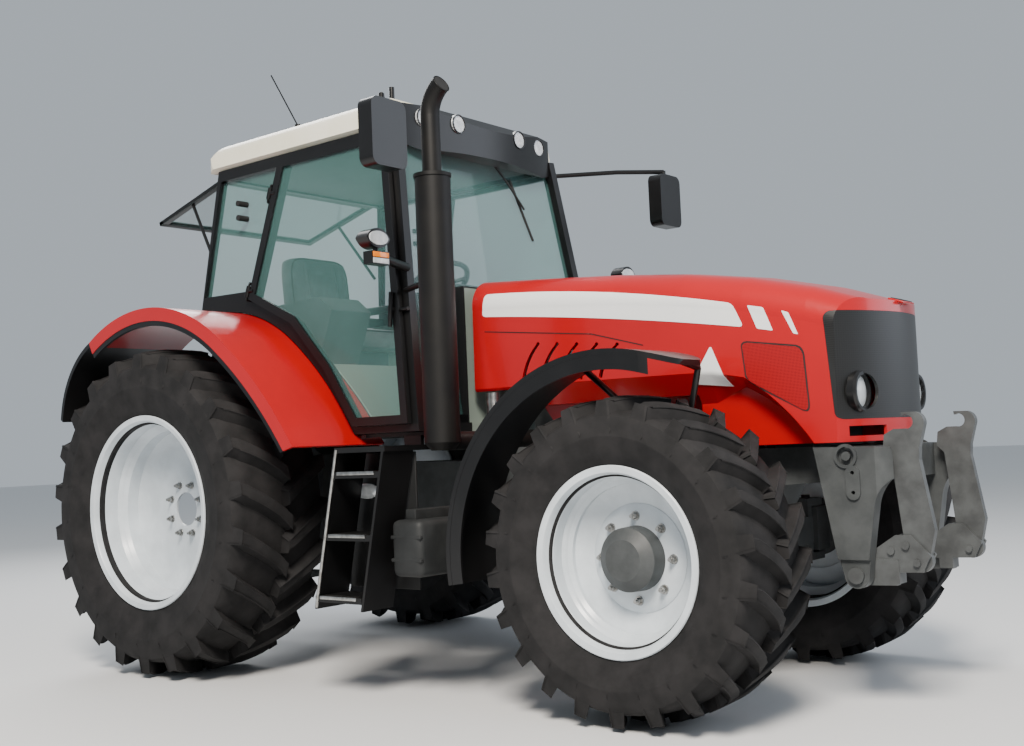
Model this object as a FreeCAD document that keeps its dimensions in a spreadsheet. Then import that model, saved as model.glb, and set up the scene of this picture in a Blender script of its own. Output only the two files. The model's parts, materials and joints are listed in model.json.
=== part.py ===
import FreeCAD, Part
import math
import os

import Sketcher
from FreeCAD import Placement, Rotation, Vector

# Four-wheel-drive farm tractor, about 145 hp, with front and rear three-point linkages.
# Millimetres. +X is forward, +Y is the tractor's left and +Z is up. The origin lies on the ground
# below the middle of the whole tractor. Drawings are made with x counted from the rear axle, and
# every piece is then placed forward by rear_axle_x.

SIZES = [
    # name, value, what it is
    ("rear_axle_x", -1390.5, "rear axle from the middle of the tractor"),
    ("wheelbase", 2820, "rear axle to front axle"),
    ("running_gap", 8, "gap between pieces that move past each other"),
    ("seat_gap", 0.3, "gap between pieces that seat on each other"),
    # rear wheels
    ("rear_tyre_r", 860, "outer radius over the lugs"),
    ("rear_tyre_w", 600, "width"),
    ("rear_track_y", 950, "centre plane of a rear tyre"),
    ("rear_lug_tall", 58, "lug height"),
    ("rear_bead_r", 486, "bead seat radius"),
    ("rear_flange_r", 508, "rim flange radius"),
    ("rear_rim_w", 530, "rim width over the flanges"),
    ("rear_disc_inset", 270, "wheel disc inboard of the outer flange"),
    ("rear_nut_circle_r", 137.5, "circle of the wheel nuts"),
    # front wheels
    ("front_tyre_r", 655, "outer radius over the lugs"),
    ("front_tyre_w", 480, "width"),
    ("front_track_y", 810, "centre plane of a front tyre"),
    ("front_lug_tall", 46, "lug height"),
    ("front_bead_r", 358, "bead seat radius"),
    ("front_flange_r", 380.5, "rim flange radius"),
    ("front_rim_w", 410, "rim width over the flanges"),
    ("front_disc_inset", 180, "wheel disc inboard of the outer flange"),
    ("front_nut_circle_r", 170, "circle of the wheel nuts"),
    ("front_hub_r", 132, "planetary hub radius"),
    ("front_hub_long", 112, "planetary hub outboard of the disc"),
    ("rim_plate", 12, "rim wall"),
    ("disc_plate", 16, "wheel disc plate"),
    ("nut_r", 15, "wheel nut radius"),
    # driveline
    ("block_half_w", 200, "half width of the engine and gearbox waist"),
    ("engine_rear_x", 1830, "rear face of the engine"),
    ("engine_front_x", 2620, "front face of the engine"),
    ("engine_low_z", 760, "bottom of the sump"),
    ("engine_top_z", 1340, "top of the engine block"),
    ("gearbox_low_z", 520, "bottom of the gearbox"),
    ("gearbox_top_z", 1060, "top of the gearbox"),
    ("axle_case_front_x", 330, "front of the rear axle case"),
    ("axle_case_rear_x", -330, "rear of the rear axle case"),
    ("axle_case_half_w", 260, "half width of the rear axle case"),
    ("axle_case_low_z", 560, "bottom of the rear axle case"),
    ("axle_case_top_z", 1180, "top of the rear axle case"),
    ("trumpet_r", 135, "rear axle trumpet radius"),
    ("trumpet_end_y", 640, "outer end of the trumpet"),
    ("trumpet_flange_r", 190, "trumpet end flange radius"),
    ("trumpet_flange_thick", 34, "trumpet end flange thickness"),
    ("half_shaft_r", 62, "rear wheel shaft radius"),
    ("drive_shaft_r", 36, "front drive shaft tube radius"),
    ("drive_shaft_z", 640, "height of the front drive shaft"),
    ("fan_pack_rear_x", 3090, "rear of the radiator pack"),
    ("fan_pack_front_x", 3330, "front of the radiator pack"),
    ("fan_pack_half_w", 255, "half width of the radiator pack"),
    ("fan_pack_top_z", 1590, "top of the radiator pack"),
    # front frame
    ("frame_half_w", 205, "half width of the frame between the front wheels"),
    ("frame_low_z", 925, "underside of the frame over the axle"),
    ("frame_top_z", 1070, "top of the frame, under the bonnet"),
    ("frame_front_x", 3710, "front of the frame"),
    ("cheek_half_w", 400, "half width over the cheek plates"),
    ("cheek_plate", 60, "cheek plate thickness"),
    ("cheek_rear_x", 3420, "rear edge of a cheek plate"),
    ("cheek_boss_x", 3545, "lower boss of a cheek plate"),
    ("cheek_boss_z", 560, "height of that boss"),
    ("cheek_boss_r", 52, "radius of that boss"),
    ("cheek_port_r", 36, "round recess in a cheek plate"),
    ("cheek_slot_r", 29, "half width of the two-hole plate"),
    ("cheek_hole_gap", 78, "between its two holes"),
    # front axle
    ("kingpin_y", 700, "steering axis from the middle"),
    ("yoke_half_z", 150, "half height of the yoke at the kingpin"),
    ("yoke_ear", 36, "yoke ear thickness"),
    ("yoke_half_x", 72, "half length of a yoke ear"),
    ("beam_half_x", 80, "half length of the axle beam"),
    ("beam_centre_half_z", 135, "half height of the beam at its centre"),
    ("beam_end_half_z", 62, "half height of the beam at its ends"),
    ("saddle_half_x", 190, "half length of the axle saddle"),
    ("knuckle_half_x", 78, "half length of a knuckle"),
    ("knuckle_out_y", 790, "outer face of a knuckle"),
    # front fender
    ("front_fender_in_r", 815, "inner radius about the front axle"),
    ("front_fender_thick", 22, "thickness"),
    ("front_fender_in_y", 735, "inner edge"),
    ("front_fender_out_y", 1060, "outer edge"),
    ("front_fender_lip", 60, "depth of the turned-down outer lip"),
    ("front_fender_round", 90, "rounding of the front tip"),
    ("front_fender_tip_deg", 68, "front tip above the horizontal"),
    ("front_fender_tail_deg", 188, "rear tip round from the front"),
    # rear fender
    ("fender_rail", 104, "cab frame above the fender, under the glass"),
    ("fender_out_y", 1222, "outer edge"),
    ("fender_thick", 24, "thickness"),
    ("fender_lip", 70, "depth of the turned-down outer lip"),
    ("fender_tail_x", -470, "rear end of the red panel"),
    ("fender_tail_z", 1790, "height of that end"),
    ("fender_crown_x", 60, "highest point"),
    ("fender_crown_z", 1930, "height of the highest point"),
    ("fender_shoulder_x", 640, "where the crown runs into the front slope"),
    ("fender_shoulder_z", 1740, "height there"),
    ("fender_slope_x", 910, "middle of the front slope"),
    ("fender_slope_z", 1510, "height there"),
    ("fender_foot_x", 1195, "front foot"),
    ("fender_foot_z", 1165, "height of the front foot"),
    ("fender_skirt_x", -770, "rear end of the black extension"),
    ("fender_skirt_z", 1380, "height of that end"),
    # cab
    ("cab_sill_z", 1250, "sill, where the leaning sides start"),
    ("cab_side_y", 790, "outer face of the side at the sill"),
    ("cab_lean_deg", 5.2, "inward lean of the sides"),
    ("c_pillar_w", 24, "slim rear pillar beside the quarter glass"),
    ("cab_plate", 48, "side frame thickness"),
    ("pillar_w", 62, "pillar width"),
    ("a_pillar_foot_x", 1600, "front edge of the A-pillar at the sill"),
    ("a_pillar_head_x", 1385, "front edge of the A-pillar at the roof"),
    ("b_pillar_foot_x", 285, "B-pillar where it meets the fender"),
    ("b_pillar_head_x", 505, "B-pillar at the roof"),
    ("c_pillar_foot_x", -120, "rear pillar at the fender"),
    ("c_pillar_head_x", -20, "rear pillar at the roof"),
    ("cab_step_x", 760, "front of the seat platform"),
    ("cab_step_z", 1600, "top of the seat platform"),
    ("cab_floor_z", 1215, "top of the foot floor"),
    ("cab_sheet", 20, "floor and wall sheet"),
    ("cab_inner_y", 600, "inner face of the side walls between the rear wheels"),
    ("cab_rear_x", -130, "rear wall"),
    ("rear_sill_z", 1925, "sill of the rear window"),
    ("cowl_half_w", 425, "half width of the cowl behind the bonnet"),
    ("cowl_top_z", 1930, "top of the cowl"),
    ("glass_thick", 6, "window glass"),
    ("rear_window_half_w", 600, "half width of the rear window"),
    ("rear_window_tall", 650, "height of the rear window"),
    ("rear_window_open_deg", 75, "how far the rear window stands open"),
    # doors
    ("door_gap", 6, "closed door from the cab side"),
    ("door_thick", 30, "door frame thickness"),
    ("door_rail", 42, "width of the door frame round its glass"),
    ("door_overlap", 18, "door frame over the opening's edge"),
    ("hinge_r", 13, "hinge knuckle radius"),
    ("hinge_tall", 70, "hinge knuckle length"),
    # roof
    ("roof_low_z", 2752, "underside of the roof"),
    ("header_tall", 62, "cross rail above the windscreen"),
    ("roof_half_w", 670, "half width of the roof"),
    ("roof_rear_x", -142, "rear of the roof"),
    ("roof_corner_r", 112, "roof's rear corners seen from above"),
    ("roof_front_x", 1345, "front of the roof"),
    ("roof_edge_z", 2868, "roof edge height"),
    ("roof_crown_z", 2955, "roof crown height"),
    ("visor_front_x", 1465, "front of the lamp visor"),
    ("visor_low_z", 2640, "underside of the visor's nose"),
    ("visor_top_z", 2868, "top of the visor"),
    ("roof_lamp_r", 50, "roof work lamp radius"),
    # bonnet
    ("bonnet_wall", 14, "bonnet skin"),
    ("bonnet_half_w", 430, "half width of the bonnet"),
    ("bonnet_rear_x", 1640, "rear edge"),
    ("bonnet_rear_z", 1965, "height at the rear edge"),
    ("bonnet_nose_x", 3650, "nose"),
    ("bonnet_fall", 140, "straight fall of the crest from its rear edge to the nose"),
    ("bonnet_dip", 172, "further dip of the crest at the nose"),
    ("bonnet_taper", 20, "narrowing of each side at the nose"),
    ("bonnet_shoulder", 165, "shoulder below the crest"),
    ("bonnet_low_z", 1085, "lower edge at the nose"),
    ("bonnet_waist_z", 1385, "lower edge over the front wheel"),
    ("bonnet_waist_x", 3125, "where the crease turns down over the front wheel"),
    ("bonnet_crease_x", 3432, "foot of the crease at the lower edge"),
    ("waist_rise", 62, "how far above the waist the side starts to run in"),
    ("waist_fade", 175, "height over which the side runs in behind"),
    ("waist_step", 48, "the same step at the foot of the crease"),
    ("waist_skin_y", 334, "side below the crease, in front of the axle"),
    ("waist_deep_x", 2860, "front end of the pocket for the steered fender"),
    ("nose_corner_x", 3440, "where the nose starts to round in plan"),
    ("hood_hinge_x", 1655, "bonnet hinge pin"),
    ("hood_hinge_z", 1905, "height of the bonnet hinge pin"),
    ("hood_hinge_y", 150, "bonnet hinge lug from the middle"),
    ("hood_pin_r", 9, "bonnet hinge pin radius"),
    ("grille_low_z", 1175, "lower edge of the black grille"),
    ("grille_top_z", 1612, "upper edge of the black grille"),
    ("grille_rear_x", 3470, "rear edge of the black grille at its top"),
    ("grille_slant", 34, "how much further forward that edge is at its foot"),
    ("grille_round", 34, "rounding of the grille's corners"),
    ("headlamp_r", 74, "headlamp radius"),
    ("headlamp_y", 300, "headlamp from the middle"),
    ("headlamp_z", 1285, "headlamp height"),
    ("waist_panel_y", 280, "wall of that pocket"),
    ("louvre_x", 1945, "foot of the rearmost louvre"),
    ("louvre_pitch", 112, "from one louvre to the next"),
    ("louvre_low_z", 1425, "lower ends of the louvres"),
    ("louvre_high_z", 1600, "upper end of the rearmost louvre"),
    ("louvre_drop", 10, "each louvre's upper end below the one before"),
    ("louvre_w", 20, "width of a louvre slot"),
    ("louvre_lean", 96, "how far a louvre leans forward at its upper end"),
    ("nose_slot_low_z", 1108, "slot below the grille"),
    ("nose_slot_high_z", 1148, "top of that slot"),
    # right-hand and left-hand fittings
    ("muffler_x", 1862, "exhaust muffler"),
    ("muffler_y", 920, "exhaust muffler from the middle"),
    ("muffler_r", 82, "exhaust muffler radius"),
    ("muffler_low_z", 1120, "bottom of the muffler"),
    ("muffler_top_z", 2371, "top of the muffler"),
    ("tailpipe_r", 44, "tail pipe radius"),
    ("tailpipe_bend_r", 155, "bend of the tail pipe"),
    ("tailpipe_top_z", 2640, "where the tail pipe turns"),
    ("step_y", 1090, "middle of the boarding steps"),
    ("step_half_w", 95, "half depth of a tread across the tractor"),
    ("step_tread", 28, "tread thickness"),
    ("step_rise", 280, "from one tread to the next"),
    ("step_low_z", 480, "lowest tread"),
    ("step_low_x", 1430, "middle of the lowest tread"),
    ("step_rake", 70, "each tread ahead of the one below"),
    ("step_half_x", 150, "half length of a tread"),
    ("step_side", 14, "side plate of the steps"),
    ("toolbox_rear_x", 1700, "rear of the toolbox"),
    ("toolbox_front_x", 1880, "front of the toolbox"),
    ("toolbox_low_z", 570, "bottom of the toolbox"),
    ("toolbox_top_z", 820, "top of the toolbox"),
    ("toolbox_in_y", 790, "inner face of the toolbox"),
    ("toolbox_out_y", 1110, "outer face of the toolbox"),
    ("tank_rear_x", 1010, "rear of the fuel tank"),
    ("tank_in_y", 330, "inner face of the fuel tank"),
    ("tank_out_y", 940, "outer face of the fuel tank"),
    ("tank_low_z", 470, "bottom of the fuel tank"),
    ("tank_top_z", 1105, "top of the fuel tank"),
    ("mirror_x", 1805, "mirror head"),
    ("mirror_y", 1170, "mirror head from the middle"),
    ("mirror_z", 2524, "mirror head height"),
    ("mirror_half_w", 108, "half width of a mirror head"),
    ("mirror_half_z", 152, "half height of a mirror head"),
    ("mirror_thick", 84, "thickness of a mirror head"),
    ("mirror_arm_r", 13, "mirror arm radius"),
    ("side_lamp_x", 1540, "oval work lamp"),
    ("side_lamp_y", 1030, "oval work lamp from the middle"),
    ("side_lamp_z", 2104, "oval work lamp height"),
    # cab interior
    ("seat_x", 330, "middle of the seat"),
    ("seat_half_w", 250, "half width of the seat"),
    ("seat_top_z", 1830, "top of the seat cushion"),
    ("seat_back_z", 2300, "top of the seat back"),
    ("wheel_r", 195, "steering wheel radius"),
    ("wheel_rim_r", 15, "steering wheel rim radius"),
    ("wheel_x", 1020, "middle of the steering wheel"),
    ("wheel_z", 2020, "height of the steering wheel"),
    # front linkage
    ("front_lift_r", 32, "front lift shaft radius"),
    ("lift_plate_y", 295, "middle of a front lift arm"),
    ("clevis_plate", 14, "side plates that hold a hook arm"),
    ("lift_plate_half_w", 34, "half width of a front lift arm"),
    ("hook_pivot_x", 3769, "pivot of a folding hook arm"),
    ("hook_pivot_z", 609, "height of that pivot"),
    ("hook_pin_r", 14, "hook arm pin radius"),
    # rear linkage
    ("rear_lift_x", -180, "rear lift shaft"),
    ("rear_lift_z", 1130, "height of the rear lift shaft"),
    ("rear_lift_r", 42, "rear lift shaft radius"),
    ("lift_arm_y", 330, "middle of a rear lift arm"),
    ("lift_arm_end_x", -530, "lift rod pin on a lift arm"),
    ("lift_arm_end_z", 1120, "height of that pin"),
    ("link_pivot_x", -190, "front pivot of a lower link"),
    ("link_pivot_z", 470, "height of that pivot"),
    ("link_y", 400, "middle of a lower link"),
    ("link_end_x", -1010, "ball of a lower link"),
    ("link_end_z", 560, "height of that ball"),
    ("link_plate", 36, "lower link thickness"),
    ("link_ball_r", 14.2, "bore of the lower link ball"),
    ("rod_pin_share", 0.5, "lift rod pin along the lower link"),
    ("pto_z", 720, "height of the power take-off shaft"),
    ("pto_r", 17.4, "power take-off shaft radius"),
    ("drawbar_z", 430, "height of the drawbar"),
    ("drawbar_pin_r", 16, "drawbar pin hole radius"),
]

RIM_SIDES = 44  # flat sides of a rim, enough for a round look with few faces
LUGS = 22  # chevron lugs on each half of a tyre
LUG_TURN = (-1.0, -0.4, 0.0)  # how far round a lug lies at its inner end, middle and shoulder
WHEEL_NUTS = 8
BEAD_INSET = 30  # a tyre's bead inboard of the rim flange
BEAD_FLAT = math.cos(math.pi / LUGS)  # a flat-sided bead's nearest radius as a share of its corners'

document = FreeCAD.newDocument("FarmTractor")
sheet = document.addObject("Spreadsheet::Sheet", "Sizes")


class Size:
    """A number together with the formula that ties it to the sheet."""

    def __init__(self, value, text):
        self.value = float(value)
        self.text = text

    def join(self, sign, other, swap=False):
        left, right = self, as_size(other)
        if swap:
            left, right = right, left
        values = {
            "+": left.value + right.value,
            "-": left.value - right.value,
            "*": left.value * right.value,
            "/": left.value / right.value if right.value else 0.0,
        }
        return Size(values[sign], f"({left.text} {sign} {right.text})")

    def __add__(self, other):
        return self.join("+", other)

    def __radd__(self, other):
        return self.join("+", other, swap=True)

    def __sub__(self, other):
        return self.join("-", other)

    def __rsub__(self, other):
        return self.join("-", other, swap=True)

    def __mul__(self, other):
        return self.join("*", other)

    def __rmul__(self, other):
        return self.join("*", other, swap=True)

    def __truediv__(self, other):
        return self.join("/", other)

    def __neg__(self):
        return self.join("*", -1)


def as_size(number):
    return number if isinstance(number, Size) else Size(number, repr(float(number)))


class Names:
    """The sheet's sizes by name."""


s = Names()
for row, (name, value, note) in enumerate(SIZES, 1):
    sheet.set(f"A{row}", name)
    sheet.set(f"B{row}", repr(value))
    sheet.set(f"C{row}", note)
    sheet.setAlias(f"B{row}", name)
    setattr(s, name, Size(value, f"Sizes.{name}"))
document.recompute()


# Ties between the model and the sheet


def bind(thing, path, size):
    """Ties a property to its formula, or sets it where the formula is only a number."""
    size = as_size(size)
    if "Sizes." in size.text:
        thing.setExpression(path, size.text)
    elif not path.startswith("."):
        setattr(thing, path, size.value)


def place(thing, x=0, y=0, z=0, axis=(0, 0, 1), angle=0):
    """Puts a piece at x from the rear axle, y and z, turned by angle degrees about axis."""
    x, y, z = s.rear_axle_x + x, as_size(y), as_size(z)
    base = Vector(x.value, y.value, z.value)
    turn = as_size(angle)
    thing.Placement = Placement(base, Rotation(Vector(*axis), turn.value))
    for letter, size in zip("xyz", (x, y, z)):
        bind(thing, f".Placement.Base.{letter}", size)
    return thing


# Plain solids


def box(name, x, y, z):
    """A block from x[0] to x[1], y[0] to y[1] and z[0] to z[1]."""
    block = document.addObject("Part::Box", name)
    for path, (low, high) in zip(("Length", "Width", "Height"), (x, y, z)):
        bind(block, path, as_size(high) - low)
    return place(block, x[0], y[0], z[0])


TURNS = {"x": ((0, 1, 0), 90), "y": ((1, 0, 0), -90), "z": ((0, 0, 1), 0)}


def rod(name, along, first, second, radius, low, high):
    """A round bar along one axis; first and second are its place on the other two, in order."""
    bar = document.addObject("Part::Cylinder", name)
    bind(bar, "Radius", radius)
    bind(bar, "Height", as_size(high) - low)
    spots = {"x": (low, first, second), "y": (first, low, second), "z": (first, second, low)}
    axis, angle = TURNS[along]
    return place(bar, *spots[along], axis, angle)


def strut(name, start, end, radius):
    """A round bar between two points."""
    start, end = [[as_size(v) for v in point] for point in (start, end)]
    run = Vector(*[b.value - a.value for a, b in zip(start, end)])
    turn = Rotation(Vector(0, 0, 1), run)
    bar = document.addObject("Part::Cylinder", name)
    bind(bar, "Radius", radius)
    bar.Height = run.Length
    return place(bar, *start, tuple(turn.Axis), math.degrees(turn.Angle))


def elbow(name, x, y, z, bend_r, pipe_r):
    """A solid pipe bend that rises at its rear end and leans forward, about a centre at x, y and z."""
    bend = document.addObject("Part::Torus", name)
    bind(bend, "Radius1", bend_r)
    bind(bend, "Radius2", pipe_r)
    bend.Angle3 = 60
    turn = Rotation(Vector(1, 0, 0), -90) * Rotation(Vector(0, 0, 1), 180)
    return place(bend, x, y, z, tuple(turn.Axis), math.degrees(turn.Angle))


def fuse(name, *solids):
    joined = document.addObject("Part::MultiFuse", name)
    joined.Shapes = list(solids)
    joined.Refine = True
    return joined


def cut(name, base, *tools):
    tool = tools[0] if len(tools) == 1 else fuse(name + "_tools", *tools)
    left = document.addObject("Part::Cut", name)
    left.Base = base
    left.Tool = tool
    left.Refine = True
    return left


def common(name, *solids):
    shared = document.addObject("Part::MultiCommon", name)
    shared.Shapes = list(solids)
    shared.Refine = True
    return shared


def mirrored(name, source):
    """The same piece on the tractor's other side."""
    other = document.addObject("Part::Mirroring", name)
    other.Source = source
    other.Normal = Vector(0, 1, 0)
    return other


# Sketched solids


class Via:
    """A point that the round edge between its two neighbours runs through."""

    def __init__(self, u, v):
        self.u, self.v = as_size(u), as_size(v)


class Ring:
    """A round hole or disc in a sketch."""

    def __init__(self, u, v, radius):
        self.u, self.v, self.radius = as_size(u), as_size(v), as_size(radius)


def pin_point(sketch, place_at, index, end, u, v):
    """Ties one point of a sketch to its two sizes."""
    for kind, axis, size in (("DistanceX", -2, u), ("DistanceY", -1, v)):
        if size.value == 0 and "Sizes." not in size.text:
            sketch.addConstraint(Sketcher.Constraint("PointOnObject", index, end, axis))
            continue
        tie = sketch.addConstraint(Sketcher.Constraint(kind, -1, 1, index, end, size.value))
        if "Sizes." in size.text:
            sketch.setExpression(f"Constraints[{tie}]", size.text)


def draw_outline(sketch, outline):
    """A closed outline of straight edges, and round ones where a Via stands between two corners."""
    corners, vias = [], {}
    for item in outline:
        if isinstance(item, Via):
            vias[len(corners) - 1] = item
        else:
            corners.append((as_size(item[0]), as_size(item[1])))
    count = len(corners)
    starts, ends, indices = [], [], []
    for i, (u, v) in enumerate(corners):
        after = corners[(i + 1) % count]
        first, last = Vector(u.value, v.value, 0), Vector(after[0].value, after[1].value, 0)
        if i in vias:
            middle = Vector(vias[i].u.value, vias[i].v.value, 0)
            forward = (middle - first).cross(last - middle).z > 0
            edge = Part.Arc(first, middle, last) if forward else Part.Arc(last, middle, first)
            index = sketch.addGeometry(edge, False)
        else:
            index = sketch.addGeometry(Part.LineSegment(first, last), False)
            forward = True
        indices.append(index)
        starts.append(1 if forward else 2)
        ends.append(2 if forward else 1)
    for i in range(count):
        j = (i + 1) % count
        meet = Sketcher.Constraint("Coincident", indices[i], ends[i], indices[j], starts[j])
        sketch.addConstraint(meet)
    for i, (u, v) in enumerate(corners):
        pin_point(sketch, None, indices[i], starts[i], u, v)
    for i, via in vias.items():
        dot = sketch.addGeometry(Part.Point(Vector(via.u.value, via.v.value, 0)), True)
        sketch.addConstraint(Sketcher.Constraint("PointOnObject", dot, 1, indices[i]))
        pin_point(sketch, None, dot, 1, via.u, via.v)


def draw_ring(sketch, ring):
    centre = Vector(ring.u.value, ring.v.value, 0)
    index = sketch.addGeometry(Part.Circle(centre, Vector(0, 0, 1), ring.radius.value), False)
    pin_point(sketch, None, index, 3, ring.u, ring.v)
    tie = sketch.addConstraint(Sketcher.Constraint("Radius", index, ring.radius.value))
    if "Sizes." in ring.radius.text:
        sketch.setExpression(f"Constraints[{tie}]", ring.radius.text)


def sketch_on(body, name, plane, outlines, offset=0):
    """A sketch on one of the body's origin planes, lifted off it by offset along its normal."""
    sketch = body.newObject("Sketcher::SketchObject", name)
    role = plane + "_Plane"
    support = [item for item in body.Origin.OriginFeatures if item.Role == role][0]
    sketch.AttachmentSupport = [(support, "")]
    sketch.MapMode = "FlatFace"
    offset = as_size(offset)
    sketch.AttachmentOffset = Placement(Vector(0, 0, offset.value), Rotation())
    bind(sketch, ".AttachmentOffset.Base.z", offset)
    for outline in outlines:
        if isinstance(outline, Ring):
            draw_ring(sketch, outline)
        else:
            draw_outline(sketch, outline)
    return sketch


def prism(name, plane, outlines, low, high):
    """Outlines padded from low to high along the axis that their plane faces.

    In XZ the padding runs along Y, in XY along Z and in YZ along X. Later outlines are holes.
    """
    low, high = as_size(low), as_size(high)
    body = document.addObject("PartDesign::Body", name)
    offset = -high if plane == "XZ" else low
    sketch = sketch_on(body, name + "_outline", plane, outlines, offset)
    pad = body.newObject("PartDesign::Pad", name + "_pad")
    pad.Profile = sketch
    bind(pad, "Length", high - low)
    return place(body)


def turned(name, outline, x=0, y=0, z=0, upright=False):
    """A solid of revolution: the outline's u runs along the axis, Y or upright Z, and v is radius."""
    body = document.addObject("PartDesign::Body", name)
    if upright:
        outline = [Via(p.v, p.u) if isinstance(p, Via) else (p[1], p[0]) for p in outline]
    sketch = sketch_on(body, name + "_outline", "XZ" if upright else "YZ", [outline])
    spin = body.newObject("PartDesign::Revolution", name + "_turn")
    spin.Profile = sketch
    spin.ReferenceAxis = (sketch, ["V_Axis" if upright else "H_Axis"])
    spin.Angle = 360
    return place(body, x, y, z)


def loft(name, sections):
    """A straight-sided loft through outlines drawn across the tractor: (x, outline) for each."""
    body = document.addObject("PartDesign::Body", name)
    sketches = []
    for number, (x, outline) in enumerate(sections):
        sketches.append(sketch_on(body, f"{name}_section{number}", "YZ", [outline], x))
    skin = body.newObject("PartDesign::AdditiveLoft", name + "_loft")
    skin.Profile = sketches[0]
    skin.Sections = sketches[1:]
    skin.Ruled = True
    return place(body)


# Facetted solids, for tyres and rims


def facet_solid(name, faces):
    """A closed solid of flat faces, each given by its corners."""
    shell = Part.Shell([Part.Face(Part.makePolygon(list(face) + [face[0]])) for face in faces])
    shell.sewShape()
    solid = Part.Solid(shell)
    if solid.Volume < 0:
        solid.reverse()
    piece = document.addObject("Part::Feature", name)
    piece.Shape = solid
    return piece


def on_wheel(y, radius, angle):
    return Vector(radius * math.cos(angle), y, radius * math.sin(angle))


def rim_shell(name, profile):
    """A rim turned from a closed profile of (y, radius) corners, with RIM_SIDES flat sides."""
    step = 2 * math.pi / RIM_SIDES
    corners = [(as_size(y).value, as_size(radius).value) for y, radius in profile]
    faces = []
    for number, (y, radius) in enumerate(corners):
        next_y, next_radius = corners[(number + 1) % len(corners)]
        for side in range(RIM_SIDES):
            start, end = side * step, (side + 1) * step
            faces.append(
                (
                    on_wheel(y, radius, start),
                    on_wheel(y, radius, end),
                    on_wheel(next_y, next_radius, end),
                    on_wheel(next_y, next_radius, start),
                )
            )
    return facet_solid(name, faces)


def tyre(name, radius, width, lug_tall, bead_r, bead_y):
    """A chevron-lugged tyre of flat facets about the Y axis, its halves half a pitch apart.

    Each ring of corners has: y as a share of half the width, the radius of the tread between the
    lugs, the radius on top of a lug, how far the lug has turned, and its half width as an angle.
    """
    pitch = 2 * math.pi / LUGS
    slant = 0.62 * width / 2 / radius
    crown = radius - lug_tall
    base = 0.042
    rings = [
        # y, tread radius, lug radius, turn, half base, half top
        (0.0, crown, radius, LUG_TURN[0] * slant, base, base * 0.62),
        (0.52, crown - 0.006 * radius, radius - 0.006 * radius, LUG_TURN[1] * slant, base, base * 0.66),
        (0.93, crown - 0.03 * radius, radius - 0.035 * radius, LUG_TURN[2] * slant, base * 1.15, base * 0.9),
    ]
    half = width / 2
    side_r = bead_r + 0.60 * (radius - bead_r)
    low_r = bead_r + 0.28 * (radius - bead_r)

    def corner(side, ring, lug, edge, top=False):
        y, tread_r, lug_r, turn, half_base, half_top = rings[ring]
        shift = 0.0 if side > 0 else 0.5
        half_angle = half_top if top else half_base
        angle = (lug + shift) * pitch + turn + edge * half_angle
        return on_wheel(side * y * half, lug_r if top else tread_r, angle)

    def wall(side, lug, edge, y, wall_r):
        turn, half_base = rings[2][3], rings[2][4]
        shift = 0.0 if side > 0 else 0.5
        angle = (lug + shift) * pitch + turn + edge * half_base
        return on_wheel(side * y, wall_r, angle)

    faces = []
    for side in (1, -1):
        for lug in range(LUGS):
            for ring in (0, 1):
                a, b = ring, ring + 1
                top = [corner(side, a, lug, -1, True), corner(side, a, lug, 1, True)]
                far = [corner(side, b, lug, -1, True), corner(side, b, lug, 1, True)]
                faces += [(top[0], top[1], far[1]), (top[0], far[1], far[0])]
                for edge, near_top, far_top in ((-1, top[0], far[0]), (1, top[1], far[1])):
                    near, beyond = corner(side, a, lug, edge), corner(side, b, lug, edge)
                    faces += [(near, near_top, far_top), (near, far_top, beyond)]
            inner = [corner(side, 0, lug, -1), corner(side, 0, lug, 1)]
            inner_top = [corner(side, 0, lug, 1, True), corner(side, 0, lug, -1, True)]
            faces.append((inner[0], inner[1], inner_top[0], inner_top[1]))
            # the lug's outer end falls to the sidewall
            shoulder = [wall(side, lug, -1, half, side_r), wall(side, lug, 1, half, side_r)]
            end_top = [corner(side, 2, lug, -1, True), corner(side, 2, lug, 1, True)]
            end_base = [corner(side, 2, lug, -1), corner(side, 2, lug, 1)]
            faces += [(end_top[0], end_top[1], shoulder[1]), (end_top[0], shoulder[1], shoulder[0])]
            faces += [(end_base[0], end_top[0], shoulder[0]), (end_base[1], end_top[1], shoulder[1])]
            # the tread between this lug and the next
            start, end = corner(side, 0, lug, 1), corner(side, 0, lug + 1, -1)
            near = corner(-side, 0, lug if side > 0 else lug + 1, -1)
            far = corner(-side, 0, lug if side > 0 else lug + 1, 1)
            mid = [corner(side, 1, lug, 1), corner(side, 1, lug + 1, -1)]
            out = [corner(side, 2, lug, 1), corner(side, 2, lug + 1, -1)]
            next_wall = wall(side, lug + 1, -1, half, side_r)
            faces += [(start, near, mid[0]), (near, far, mid[0]), (far, mid[1], mid[0]), (far, end, mid[1])]
            faces += [(mid[0], mid[1], out[1]), (mid[0], out[1], out[0])]
            faces += [(out[0], out[1], next_wall), (out[0], next_wall, shoulder[1])]
            # the sidewall down to the bead
            low = [wall(side, lug, -1, half * 0.96, low_r), wall(side, lug, 1, half * 0.96, low_r)]
            low_next = wall(side, lug + 1, -1, half * 0.96, low_r)
            faces += [(shoulder[0], shoulder[1], low[1]), (shoulder[0], low[1], low[0])]
            faces += [(shoulder[1], next_wall, low_next), (shoulder[1], low_next, low[1])]
            bead = wall(side, lug, 0, bead_y, bead_r)
            bead_next = wall(side, lug + 1, 0, bead_y, bead_r)
            faces += [(low[0], low[1], bead), (low[1], low_next, bead_next), (low[1], bead_next, bead)]
    for lug in range(LUGS):
        right = wall(1, lug, 0, bead_y, bead_r)
        right_next = wall(1, lug + 1, 0, bead_y, bead_r)
        left = wall(-1, lug, 0, bead_y, bead_r)
        left_next = wall(-1, lug + 1, 0, bead_y, bead_r)
        faces += [(right, left, right_next), (left, left_next, right_next)]
    return facet_solid(name, faces)


# The finished pieces, by name

nodes = {}


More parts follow.
